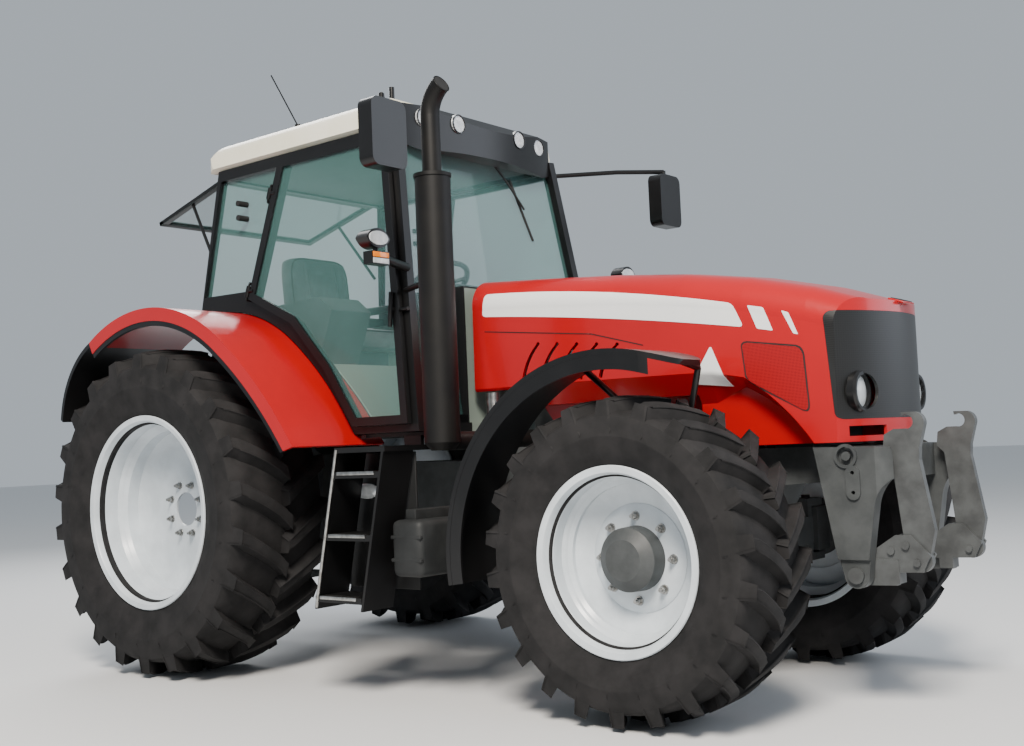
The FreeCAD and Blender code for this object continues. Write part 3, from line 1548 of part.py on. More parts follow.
def rear_fenders():
    inner_y = -s.cab_inner_y - s.cab_sheet - s.seat_gap
    top = prism("fender_top", "XZ", [fender_band(0, s.fender_thick)], -s.fender_out_y, inner_y)
    lip = prism(
        "fender_lip_shape", "XZ", [fender_band(s.fender_thick / 2, s.fender_lip)], -s.fender_out_y, -s.fender_out_y + 20
    )
    FENDER_TOPS["right"] = top
    both("rear_fenders", fuse("rear_fender_shape", top, lip))

    tail, end = FENDER_TAIL, (s.fender_skirt_x, s.fender_skirt_z)
    bow = (s.fender_skirt_x * 0.86, s.fender_skirt_z + 260)
    gap = s.seat_gap
    skirt = prism(
        "fender_skirt_top",
        "XZ",
        [
            [
                (tail[0] - gap, tail[1] - gap),
                Via(*bow),
                end,
                toward_axle(end, s.fender_thick),
                Via(*toward_axle(bow, s.fender_thick)),
                (toward_axle(tail, s.fender_thick)[0] - gap, toward_axle(tail, s.fender_thick)[1] - gap),
            ]
        ],
        -s.fender_out_y,
        inner_y - 30,
    )
    strip = prism(
        "fender_strip",
        "XZ",
        [fender_band(s.fender_lip + gap, s.fender_lip + 26)],
        -s.fender_out_y + 4,
        -s.fender_out_y + 20,
    )
    both("fender_edges", fuse("fender_edge_shape", skirt, strip))


def glass():
    screen_lean = math.atan2(
        s.a_pillar_foot_x.value - s.a_pillar_head_x.value, SIDE_TALL.value * math.cos(LEAN)
    )
    low = as_size(42)
    high = (s.roof_low_z - s.header_tall - s.cab_sill_z) * (1 / math.cos(screen_lean)) - 6
    slope = math.tan(LEAN) * math.cos(screen_lean)
    half = s.cab_side_y - s.cab_plate - 2
    hood = s.cowl_half_w + s.seat_gap
    hood_top = (s.cowl_top_z - s.cab_sill_z) * (1 / math.cos(screen_lean)) + 12
    screen = prism(
        "windscreen",
        "YZ",
        [
            [
                (-half + low * slope, low),
                (-hood, low),
                (-hood, hood_top),
                (hood, hood_top),
                (hood, low),
                (half - low * slope, low),
                (half - high * slope, high),
                (-half + high * slope, high),
            ]
        ],
        0,
        s.glass_thick,
    )
    place(screen, s.a_pillar_foot_x - 46, 0, s.cab_sill_z, (0, 1, 0), -math.degrees(screen_lean))
    quarter = lean_in(
        prism("quarter_glass", "XZ", [quarter_opening()], s.cab_plate / 2, s.cab_plate / 2 + s.glass_thick)
    )
    finish("cab_glass", fuse("cab_glass_shape", screen, quarter, mirrored("quarter_glass_left", quarter)))

    tall, half = s.rear_window_tall, s.rear_window_half_w
    frame = [(-half, -tall), (half, -tall), (half, 0), (-half, 0)]
    ring = prism("rear_window_frame", "YZ", [frame, offset(frame, -40)], -12, 12)
    pane = prism("rear_window_pane", "YZ", [offset(frame, -39)], -3, 3)
    window = fuse("rear_window_solid", ring, pane)
    angle = s.rear_window_open_deg
    for piece in (ring, pane):
        place(piece, s.c_pillar_head_x - 24, 0, s.roof_low_z - 30, (0, 1, 0), angle)
    turn = math.radians(angle.value)
    stays = []
    for name, side in (("right", -1), ("left", 1)):
        reach = 330
        start = (
            s.c_pillar_head_x - 24 - reach * math.sin(turn),
            side * (half - 20),
            s.roof_low_z.value - 40 - reach * math.cos(turn),
        )
        stays.append(strut(f"window_stay_{name}", start, (s.cab_rear_x + 30, side * 640, 2250), 9))
        stays.append(
            box(
                f"window_hinge_{name}",
                (s.c_pillar_head_x - 34, s.c_pillar_head_x),
                (side * 400 - 40, side * 400 + 40),
                (s.roof_low_z - 42, s.roof_low_z - 14),
            )
        )
    finish("rear_window", fuse("rear_window_shape", window, *stays))


def doors():
    opening = door_opening()
    outer = offset(opening, s.door_overlap)
    inner = offset(opening, s.door_overlap - s.door_rail)
    near, far = -s.door_gap - s.door_thick, -s.door_gap
    frame = lean_in(prism("door_ring", "XZ", [outer, inner], near, far))
    middle = -s.door_gap - s.door_thick / 2
    knuckles_on_door = []
    for number, rise in enumerate(HINGE_RISES):
        start, end = hinge_point(rise - 30), hinge_point(rise + 30)
        knuckle = strut(f"door_knuckle{number}", start, end, s.hinge_r)
        bore = strut(f"door_knuckle_bore{number}", hinge_point(rise - 60), hinge_point(rise + 60), 6.3)
        leaf_out = HINGE_OUT
        a, b = hinge_point(rise), on_side(hinge_x(rise) + 42, rise, leaf_out - 4)
        leaf = strut(f"door_leaf{number}", a, b, 11)
        knuckles_on_door.append(cut(f"door_hinge{number}", fuse(f"door_hinge_solid{number}", knuckle, leaf), bore))
    handle_x = opening[0][0].value - 40
    handle = strut(
        "door_handle",
        on_side(handle_x - 60, 470, s.door_gap.value + s.door_thick.value + 12),
        on_side(handle_x - 60, 640, s.door_gap.value + s.door_thick.value + 12),
        11,
    )
    catch = strut(
        "door_catch",
        on_side(handle_x - 60, 555, s.door_gap.value + 4),
        on_side(handle_x - 60, 555, s.door_gap.value + s.door_thick.value + 14),
        16,
    )
    catch_plate = strut(
        "door_catch_plate", on_side(handle_x - 60, 555, s.door_gap.value + 11), on_side(handle_x + 30, 555, s.door_gap.value + 12), 9
    )
    each("door_frame", fuse("door_frame_shape", frame, *knuckles_on_door, handle, catch, catch_plate))
    pane = prism("door_pane", "XZ", [inner], middle - s.glass_thick / 2, middle + s.glass_thick / 2)
    hole = strut("door_pane_hole", on_side(handle_x - 60, 555, -40), on_side(handle_x - 60, 555, 90), 16.5)
    slot = strut("door_pane_slot", on_side(handle_x - 62, 555, s.door_gap.value + 11), on_side(handle_x + 60, 555, s.door_gap.value + 12), 9.5)
    each("door_glass", cut("door_glass_shape", lean_in(pane), hole, slot))


def roof():
    rear, front, half = s.roof_rear_x, s.roof_front_x, s.roof_half_w
    low, edge, crown, corner = s.roof_low_z, s.roof_edge_z, s.roof_crown_z, s.roof_corner_r
    side = prism(
        "roof_side",
        "XZ",
        [
            [
                (rear + 92, low),
                Via(rear + 38, low + 5),
                (rear, low + 34),
                (rear + 78, edge - 8),
                Via(rear + 112, edge + 26),
                (rear + 180, edge + 50),
                Via(rear + 520, crown - 4),
                (front - 40, edge + 40),
                (front, edge),
                (front, low),
            ]
        ],
        -half,
        half,
    )
    across = prism(
        "roof_front_view",
        "YZ",
        [
            [
                (-half + 34, low),
                (-half, low + 18),
                (-half + 14, edge - 30),
                Via(-half + 38, edge + 14),
                (-half + 110, edge + 44),
                Via(0, crown),
                (half - 110, edge + 44),
                Via(half - 38, edge + 14),
                (half - 14, edge - 30),
                (half, low + 18),
                (half - 34, low),
            ]
        ],
        rear - 10,
        front + 10,
    )
    plan = prism(
        "roof_plan",
        "XY",
        [
            [
                (front + 1, -half - 1),
                (front + 1, half + 1),
                (rear + corner, half + 1),
                Via(rear + corner * 0.29, half - corner * 0.29),
                (rear - 1, half - corner),
                (rear - 1, -half + corner),
                Via(rear + corner * 0.29, -half + corner * 0.29),
                (rear + corner, -half - 1),
            ]
        ],
        low - 10,
        crown + 10,
    )
    finish("roof", common("roof_shape", side, across, plan))

    lip = s.roof_half_w - 20
    plan = [
        (s.roof_front_x + s.seat_gap, -lip),
        (s.visor_front_x - 85, -lip + 40),
        Via(s.visor_front_x, 0),
        (s.visor_front_x - 85, lip - 40),
        (s.roof_front_x + s.seat_gap, lip),
    ]
    visor_plan = prism("visor_plan", "XY", [plan], s.visor_low_z, s.visor_top_z)
    visor_side = prism(
        "visor_side",
        "XZ",
        [
            [
                (s.roof_front_x, s.visor_low_z + 62),
                (s.visor_front_x - 60, s.visor_low_z),
                (s.visor_front_x + 5, s.visor_low_z + 18),
                (s.visor_front_x + 5, s.visor_top_z - 60),
                (s.visor_front_x - 50, s.visor_top_z),
                (s.roof_front_x, s.visor_top_z),
            ]
        ],
        -s.roof_half_w,
        s.roof_half_w,
    )
    sockets, lamps = [], []
    for number, (y, back) in enumerate(((-475, 56), (-250, 16), (250, 16), (475, 56))):
        x = s.visor_front_x - back
        z = s.visor_top_z - 62
        sockets.append(rod(f"lamp_socket{number}", "x", y, z, s.roof_lamp_r + s.seat_gap, x - 40, x + 80))
        lamps.append(rod(f"roof_lamp{number}", "x", y, z, s.roof_lamp_r, x - 40 + s.seat_gap, x + 4))
    finish("roof_visor", cut("roof_visor_shape", common("visor_solid", visor_plan, visor_side), *sockets, nodes["cab_frame"]))
    finish("roof_lamps", fuse("roof_lamps_shape", *lamps))

    beacon = rod("beacon_stub", "z", 1220, -500, 14, s.roof_edge_z, 3000)
    foot = rod("aerial_foot", "z", 440, -450, 22, s.roof_crown_z - 45, s.roof_crown_z + 14)
    aerial = strut("aerial_rod", (440, -450, s.roof_crown_z), (220, -450, 3300), 4)
    finish("roof_fittings", cut("roof_fittings_shape", fuse("roof_fittings_solid", beacon, foot, aerial), nodes["roof"]))


# Bonnet


def bonnet_section(half, top, wall):
    """The bonnet across the tractor at one place, drawn down past its lower edge."""
    half, top = as_size(half) - wall, as_size(top) - wall
    shoulder = top - s.bonnet_shoulder
    low = s.bonnet_low_z - 90
    return [
        (-half, low),
        (-half + 10, shoulder),
        Via(-half + 44, top - 58),
        (-half + 150, top - 14),
        Via(0, top),
        (half - 150, top - 14),
        Via(half - 44, top - 58),
        (half - 10, shoulder),
        (half, low),
    ]


BONNET_STATIONS = (0, 0.2, 0.4, 0.58, 0.73, 0.87, 1)  # sections from the rear edge to the nose


def crest_z(share):
    """Height of the bonnet's crest at a share of the way from its rear edge to the nose."""
    return s.bonnet_rear_z - s.bonnet_fall * share - s.bonnet_dip * share**4


def bonnet_solid(name, wall):
    half, rear, nose = s.bonnet_half_w, s.bonnet_rear_x, s.bonnet_nose_x + 10
    sections = []
    for share in BONNET_STATIONS:
        x = rear + (nose - rear) * share - (5 if wall.value and share == 0 else 0)
        sections.append((x, bonnet_section(half - s.bonnet_taper * share**4, crest_z(share), wall)))
    body = loft(name + "_body", sections)
    plan = prism(
        name + "_plan",
        "XY",
        [
            [
                (rear - 20, -half - 60),
                (s.nose_corner_x, -half - 60),
                Via(s.bonnet_nose_x - wall, 0),
                (s.nose_corner_x, half + 60),
                (rear - 20, half + 60),
            ]
        ],
        s.bonnet_low_z - 200,
        s.bonnet_rear_z + 60,
    )
    spaces = [waist_space(name, wall), pocket_space(name, wall)]
    mirrors = [mirrored(f"{name}_space_left{n}", space) for n, space in enumerate(spaces)]
    return cut(name, common(name + "_full", body, plan), *spaces, *mirrors)


def waist_space(name, wall):
    """What the crease leaves out of the bonnet's right side, for the skin's outside or its inside."""
    start, deep = s.bonnet_rear_x - 80, s.bonnet_low_z - 160
    foot, turn = s.bonnet_crease_x + wall, s.bonnet_waist_x + wall
    top = s.bonnet_waist_z + wall
    outer_y, inner_y = s.bonnet_half_w + 20, s.waist_skin_y - wall

    def outline(step, fade):
        return [
            (start, deep),
            (foot - step, deep),
            (foot - step, s.bonnet_low_z - 12),
            Via((foot + turn) / 2 + 16 - step, (s.bonnet_low_z + top) / 2 + 10 - step * 0.4),
            (turn - step, top - fade * 0.3),
            (turn - 165 - step * 0.5, top + s.waist_rise - fade),
            (start, top + s.waist_rise - fade),
        ]

    body = document.addObject("PartDesign::Body", name + "_waist")
    near = sketch_on(body, name + "_waist_near", "XZ", [outline(as_size(0), as_size(0))], outer_y)
    far = sketch_on(body, name + "_waist_far", "XZ", [outline(s.waist_step, s.waist_fade)], inner_y)
    skin = body.newObject("PartDesign::AdditiveLoft", name + "_waist_loft")
    skin.Profile = near
    skin.Sections = [far]
    skin.Ruled = True
    return place(body)


def pocket_space(name, wall):
    """The deeper pocket that the steered wheel's fender swings into, on the right side."""
    return box(
        name + "_pocket",
        (s.bonnet_rear_x - 80, s.waist_deep_x + wall),
        (-s.bonnet_half_w - 40, -s.waist_panel_y + wall),
        (s.bonnet_low_z - 160, s.bonnet_waist_z - 72 + wall),
    )


def grille_view(name, gap, out):
    """The black grille seen from the side, each edge moved in by gap, out to both sides."""
    low, high = s.grille_low_z + gap, s.grille_top_z - gap
    top_x = s.grille_rear_x + gap
    low_x, bend = top_x + s.grille_slant, s.grille_round
    front = s.bonnet_nose_x + 60
    outline = [
        (front, low),
        (front, high),
        (top_x + bend, high),
        Via(top_x + bend * 0.3, high - bend * 0.28),
        (top_x + bend * 0.08, high - bend),
        (low_x - bend * 0.08, low + bend),
        Via(low_x + bend * 0.24, low + bend * 0.26),
        (low_x + bend, low),
    ]
    return prism(name, "XZ", [outline], -out, out)


def louvres():
    """Slanted slots through the right side, each with round ends."""
    slots = []
    for number in range(5):
        foot_x = s.louvre_x + s.louvre_pitch * number
        head_x = foot_x + s.louvre_lean
        high = s.louvre_high_z - s.louvre_drop * number
        half = s.louvre_w / 2
        outline = [
            (foot_x - half, s.louvre_low_z),
            Via(foot_x, s.louvre_low_z - half),
            (foot_x + half, s.louvre_low_z),
            Via(foot_x + s.louvre_lean * 0.3 + half, (s.louvre_low_z + high) / 2),
            (head_x + half, high),
            Via(head_x, high + half),
            (head_x - half, high),
            Via(foot_x + s.louvre_lean * 0.3 - half, (s.louvre_low_z + high) / 2),
        ]
        slots.append(prism(f"louvre{number}", "XZ", [outline], -s.bonnet_half_w - 20, -s.bonnet_half_w + 60))
    return slots


def bonnet():
    outer = bonnet_solid("bonnet_outer", as_size(0))
    shell = cut("bonnet_shell", outer, bonnet_solid("bonnet_inner", s.bonnet_wall))
    below = prism(
        "bonnet_below",
        "XZ",
        [
            [
                (s.bonnet_rear_x - 60, s.bonnet_low_z - 220),
                (s.bonnet_nose_x + 60, s.bonnet_low_z - 220),
                (s.bonnet_nose_x + 60, s.bonnet_low_z),
                (s.engine_front_x, s.bonnet_low_z),
                (s.engine_rear_x + 260, s.bonnet_low_z + 40),
                (s.engine_rear_x + 60, s.bonnet_waist_z + 12),
                (s.bonnet_rear_x - 60, s.bonnet_waist_z + 12),
            ]
        ],
        -700,
        700,
    )
    slots = louvres()
    slots += [mirrored(f"louvre_left{n}", slot) for n, slot in enumerate(slots)]
    for number, side in enumerate((-1, 1)):
        ends = sorted((side * (s.headlamp_y.value - 110), side * (s.headlamp_y.value + 68)))
        slots.append(
            box(f"nose_slot{number}", (s.grille_rear_x, s.bonnet_nose_x), ends, (s.nose_slot_low_z, s.nose_slot_high_z))
        )
    trimmed = cut("bonnet_trimmed", shell, below, *slots)
    hx, hy, hz = s.hood_hinge_x, s.hood_hinge_y, s.hood_hinge_z
    ear = prism(
        "bonnet_ear",
        "XZ",
        [
            [
                (hx - 13, s.bonnet_rear_z + 20),
                (hx - 20, hz),
                Via(hx, hz - 20),
                (hx + 20, hz),
                (hx + 40, s.bonnet_rear_z + 20),
            ],
            Ring(hx, hz, s.hood_pin_r + s.seat_gap),
        ],
        -hy + 15,
        -hy + 39,
    )
    right_ear = common("bonnet_ear_trimmed", ear, outer)
    ears = [right_ear, mirrored("bonnet_ear_left", right_ear)]
    skin = fuse("bonnet_skin", trimmed, *ears)
    finish("bonnet", cut("bonnet_shape", skin, grille_view("grille_space", as_size(0), 600)))

    tunnels = [
        rod(f"lamp_tunnel{n}", "x", side * s.headlamp_y, s.headlamp_z, s.headlamp_r + s.seat_gap, 3400, 3700)
        for n, side in enumerate((-1, 1))
    ]
    face = common("nose_skin", trimmed, grille_view("grille_face", s.seat_gap, 600))
    finish("nose_grille", cut("nose_panel", face, *tunnels))
    lamps = []
    for number, side in enumerate((-1, 1)):
        y = side * s.headlamp_y
        front = s.grille_rear_x + 98
        can = rod(f"headlamp_can{number}", "x", y, s.headlamp_z, s.headlamp_r, front - 108, front)
        hollow = rod(f"headlamp_hollow{number}", "x", y, s.headlamp_z, s.headlamp_r - 9, front - 62, front + 20)
        lamps.append(cut(f"headlamp{number}", can, hollow))
    finish("headlamps", fuse("headlamps_shape", *lamps))


# Fittings on the sides


def exhaust():
    muffler = turned(
        "muffler",
        [
            (s.muffler_low_z, 0),
            (s.muffler_low_z, s.muffler_r - 30),
            (s.muffler_low_z + 35, s.muffler_r),
            (s.muffler_top_z - 16, s.muffler_r),
            (s.muffler_top_z - 16, s.muffler_r + 5),
            (s.muffler_top_z, s.muffler_r + 5),
            (s.muffler_top_z, 0),
        ],
        s.muffler_x,
        -s.muffler_y,
        0,
        upright=True,
    )
    x, y = s.muffler_x, -s.muffler_y
    pipe = rod("tailpipe", "z", x, y, s.tailpipe_r, s.muffler_top_z - 1, s.tailpipe_top_z)
    bend = elbow("tailpipe_bend", x + s.tailpipe_bend_r, y, s.tailpipe_top_z, s.tailpipe_bend_r, s.tailpipe_r)
    foot = strut("exhaust_foot", (x, y, s.muffler_low_z + 40), (x + 30, -s.block_half_w, s.muffler_low_z + 40), 42)
    stay = strut("exhaust_stay", (x - 60, y + 40, 1900), (s.a_pillar_foot_x - 122, -s.cab_side_y + 70, 1900), 14)
    pipes = fuse("exhaust_solid", muffler, pipe, bend, foot, stay)
    finish("exhaust", cut("exhaust_shape", pipes, nodes["cab_frame"], nodes["engine_block"]))


def steps():
    mid, half_y = -s.step_y, s.step_half_w
    plates = []
    for level in range(3):
        x = s.step_low_x + s.step_rake * level
        z = s.step_low_z + s.step_rise * level
        plates.append(
            box(f"tread{level}", (x - s.step_half_x, x + s.step_half_x), (mid - half_y, mid + half_y), (z - s.step_tread, z))
        )
    top_z = s.step_low_z + s.step_rise * 2 + 110
    top_x = s.step_low_x + s.step_rake * 2.4
    for name, side in (("rear", -1), ("front", 1)):
        low_x = s.step_low_x + side * s.step_half_x - s.step_side / 2
        high_x = top_x + side * s.step_half_x - s.step_side / 2
        plates.append(
            prism(
                f"stringer_{name}",
                "XZ",
                [
                    [
                        (low_x, s.step_low_z - 60),
                        (low_x + s.step_side, s.step_low_z - 60),
                        (high_x + s.step_side, top_z),
                        (high_x, top_z),
                    ]
                ],
                mid - half_y,
                mid + half_y,
            )
        )
    deck = box("step_deck", (top_x - s.step_half_x - 10, top_x + s.step_half_x + 10), (mid - half_y, -s.cab_side_y + 60), (top_z - 24, top_z))
    hanger = box("step_hanger", (top_x - 140, top_x - 30), (-s.cab_side_y + 40, -s.cab_side_y + 61), (top_z - 24, s.cab_floor_z - s.cab_sheet))
    both("boarding_steps", fuse("steps_shape", *plates, deck, hanger))

    depth = (s.toolbox_low_z, s.toolbox_top_z)
    chest = box("toolbox_chest", (s.toolbox_rear_x, s.toolbox_front_x), (-s.toolbox_out_y, -s.toolbox_in_y), depth)
    carrier = box("toolbox_carrier", (s.toolbox_rear_x + 40, s.toolbox_rear_x + 100), (-s.toolbox_out_y + 60, -s.block_half_w - s.seat_gap), (s.toolbox_top_z - 1, s.toolbox_top_z + 44))
    finish("toolbox", fuse("toolbox_shape", chest, carrier))

    tank = prism(
        "tank_shape",
        "XZ",
        [
            [
                (s.tank_rear_x, s.tank_low_z + 110),
                (s.tank_rear_x + 90, s.tank_low_z),
                (s.toolbox_front_x - 30, s.tank_low_z),
                (s.toolbox_front_x, s.tank_low_z + 40),
                (s.toolbox_front_x, s.tank_top_z),
                (s.tank_rear_x + 180, s.tank_top_z),
                (s.tank_rear_x, s.tank_top_z - 240),
            ]
        ],
        s.tank_in_y,
        s.tank_out_y,
    )
    straps = [
        box(f"tank_bracket{n}", (x, x + 70), (s.block_half_w + s.seat_gap, s.tank_in_y + 1), (700, 760))
        for n, x in enumerate((1240, 1640))
    ]
    finish("fuel_tank", fuse("fuel_tank_shape", tank, *straps))


def mirrors_and_lamps():
    x, y, z = s.mirror_x, -s.mirror_y, s.mirror_z
    wide, tall = s.mirror_half_w, s.mirror_half_z
    head = prism(
        "mirror_head",
        "YZ",
        [
            [
                (y - wide, z - tall + 40),
                Via(y - wide + 12, z - tall + 12),
                (y - wide + 40, z - tall),
                (y + wide - 40, z - tall),
                Via(y + wide - 12, z - tall + 12),
                (y + wide, z - tall + 40),
                (y + wide, z + tall - 40),
                Via(y + wide - 12, z + tall - 12),
                (y + wide - 40, z + tall),
                (y - wide + 40, z + tall),
                Via(y - wide + 12, z + tall - 12),
                (y - wide, z + tall - 40),
            ]
        ],
        x - s.mirror_thick / 2,
        x + s.mirror_thick / 2,
    )
    r = s.mirror_arm_r
    root = on_side(s.a_pillar_head_x.value - 22, SIDE_TALL.value - 75, -8)
    bend_x, bend_y, top_z = x - 190, y + 210, z + tall + 26
    arm = [
        strut("mirror_arm0", root, (bend_x, bend_y, top_z), r),
        strut("mirror_arm1", (bend_x, bend_y, top_z), (x, y, top_z), r),
        strut("mirror_arm2", (x, y, top_z + 6), (x, y, z + tall - 2), r),
    ]
    both("mirrors", cut("mirror_seated", fuse("mirror_shape", head, *arm), nodes["cab_frame"]))

    x, y, z = s.side_lamp_x, -s.side_lamp_y, s.side_lamp_z
    lamp = prism(
        "side_lamp",
        "YZ",
        [[(y - 75, z), Via(y, z - 46), (y + 75, z), Via(y, z + 46)]],
        x,
        x + 75,
    )
    bar_z = z - 92
    edge = pillar_x(s.a_pillar_foot_x, s.a_pillar_head_x, up(bar_z))
    root = on_side(edge.value - s.pillar_w.value / 6, up(bar_z).value, -8)
    arm = strut("side_lamp_arm", (x + 52, y + 60, bar_z), root, 22)
    post = rod("indicator_post", "z", x + 52, y, 12, bar_z, z - 20)
    amber = box("indicator", (x + 24, x + 80), (y - 52, y + 62), (bar_z - 30, bar_z + 30))
    lamps = fuse("side_lamp_shape", lamp, arm, post, amber)
    both("side_lamps", cut("side_lamp_seated", lamps, nodes["cab_frame"]))


def interior():
    x, half = s.seat_x, s.seat_half_w
    seat_low = s.cab_step_z
    cushion = box("seat_cushion", (x - 230, x + 260), (-half, half), (s.seat_top_z - 120, s.seat_top_z))
    back = prism(
        "seat_back",
        "XZ",
        [
            [
                (x - 330, s.seat_top_z - 60),
                (x - 200, s.seat_top_z - 60),
                (x - 270, s.seat_back_z),
                (x - 360, s.seat_back_z),
            ]
        ],
        -half + 20,
        half - 20,
    )
    base = box("seat_base", (x - 150, x + 150), (-160, 160), (seat_low, s.seat_top_z - 119))
    finish("seat", fuse("seat_shape", cushion, back, base))
    console = prism(
        "console",
        "XZ",
        [
            [
                (-60, seat_low + s.seat_gap),
                (s.cab_step_x - 60, seat_low + s.seat_gap),
                (s.cab_step_x + 60, 1880),
                (s.cab_step_x - 40, 1960),
                (60, 1930),
                (-60, 1830),
            ]
        ],
        -s.cab_inner_y + s.seat_gap,
        -s.seat_half_w - 60,
    )
    finish("side_console", console)
    dash = prism(
        "dashboard_shape",
        "XZ",
        [
            [
                (s.wheel_x + 210, s.cab_floor_z),
                (s.wheel_x + 380, s.cab_floor_z),
                (s.wheel_x + 380, 1960),
                (s.wheel_x + 260, 2000),
                (s.wheel_x + 110, 1900),
            ]
        ],
        -150,
        150,
    )
    column = strut("steering_column", (s.wheel_x + 170, 0, 1880), (s.wheel_x, 0, s.wheel_z), 26)
    rim = document.addObject("Part::Torus", "steering_wheel_rim")
    bind(rim, "Radius1", s.wheel_r)
    bind(rim, "Radius2", s.wheel_rim_r)
    place(rim, s.wheel_x, 0, s.wheel_z, (0, 1, 0), -35)
    turn = math.radians(-35)
    spokes = []
    for number in range(3):
        angle = math.radians(120 * number + 180)
        reach = s.wheel_r.value
        tip = (
            s.wheel_x + reach * math.cos(angle) * math.cos(turn),
            reach * math.sin(angle),
            s.wheel_z - reach * math.cos(angle) * math.sin(turn),
        )
        spokes.append(strut(f"wheel_spoke{number}", (s.wheel_x, 0, s.wheel_z), tip, 12))
    finish("dashboard", fuse("dashboard_with_wheel", dash, column, rim, *spokes))


# Linkages


def front_linkage():
    x, z = s.cheek_boss_x, s.cheek_boss_z
    shaft = rod("front_lift_shaft", "y", x, z, s.front_lift_r, -s.cheek_half_w, s.cheek_half_w)
    inner = s.cheek_half_w - s.cheek_plate - s.running_gap
    y = s.lift_plate_y
    arm = prism(
        "front_lift_arm",
        "XZ",
        [
            [
                (x - 40, z - 45),
                (x + 140, z - 40),
                (x + 150, z + 60),
                (x + 20, z + 66),
                (x - 50, z + 30),
            ]
        ],
        -inner,
        -inner + 34,
    )
    half, px, pz = s.lift_plate_half_w, s.hook_pivot_x, s.hook_pivot_z
    cross = box("front_lift_cross", (x + 92, x + 150), (-inner, -y + half), (z - 34, z + 56))
    clevis = []
    for number, low in enumerate((-y - half, -y + half - s.clevis_plate)):
        clevis.append(
            prism(
                f"front_clevis{number}",
                "XZ",
                [
                    [
                        (px - 182, pz - 42),
                        (px + 20, pz - 36),
                        (px + 52, pz + 30),
                        (px - 22, pz + 106),
                        (px - 84, pz + 106),
                        (px - 166, pz + 52),
                    ]
                ],
                low,
                low + s.clevis_plate,
            )
        )
    pin = rod("hook_pin", "y", px, pz, s.hook_pin_r, -y - half - 12, -y + half + 12)
    bolts = [
        rod(f"lift_bolt{number}", "y", px + dx, pz + dz, 15, -y - half - 10, -y - half + 1)
        for number, (dx, dz) in enumerate(((-42, 66), (-102, 45)))
    ]
    side = fuse("front_lift_side", arm, cross, *clevis, pin, *bolts)
    finish("front_lift_arms", fuse("front_lift_shape", shaft, side, mirrored("front_lift_side_left", side)))

    gap = s.lift_plate_half_w - s.clevis_plate - 4
    bar = prism(
        "hook_bar",
        "XZ",
        [
            [
                (px - 40, pz + 20),
                Via(px - 5, pz - 38),
                (px + 46, pz + 30),
                (px + 68, pz + 126),
                (px + 23, pz + 398),
                (px + 26, pz + 446),
                (px + 50, pz + 533),
                Via(px + 40, pz + 570),
                (px + 14, pz + 584),
                (px - 39, pz + 585),
                (px - 37, pz + 570),
                Via(px + 7, pz + 545),
                (px - 31, pz + 520),
                (px - 72, pz + 520),
                (px - 112, pz + 499),
                (px - 119, pz + 442),
                (px - 88, pz + 409),
                (px - 57, pz + 106),
            ],
            Ring(px, pz, s.hook_pin_r + s.seat_gap),
        ],
        -y - gap,
        -y + gap,
    )
    each("hook_arm", bar)


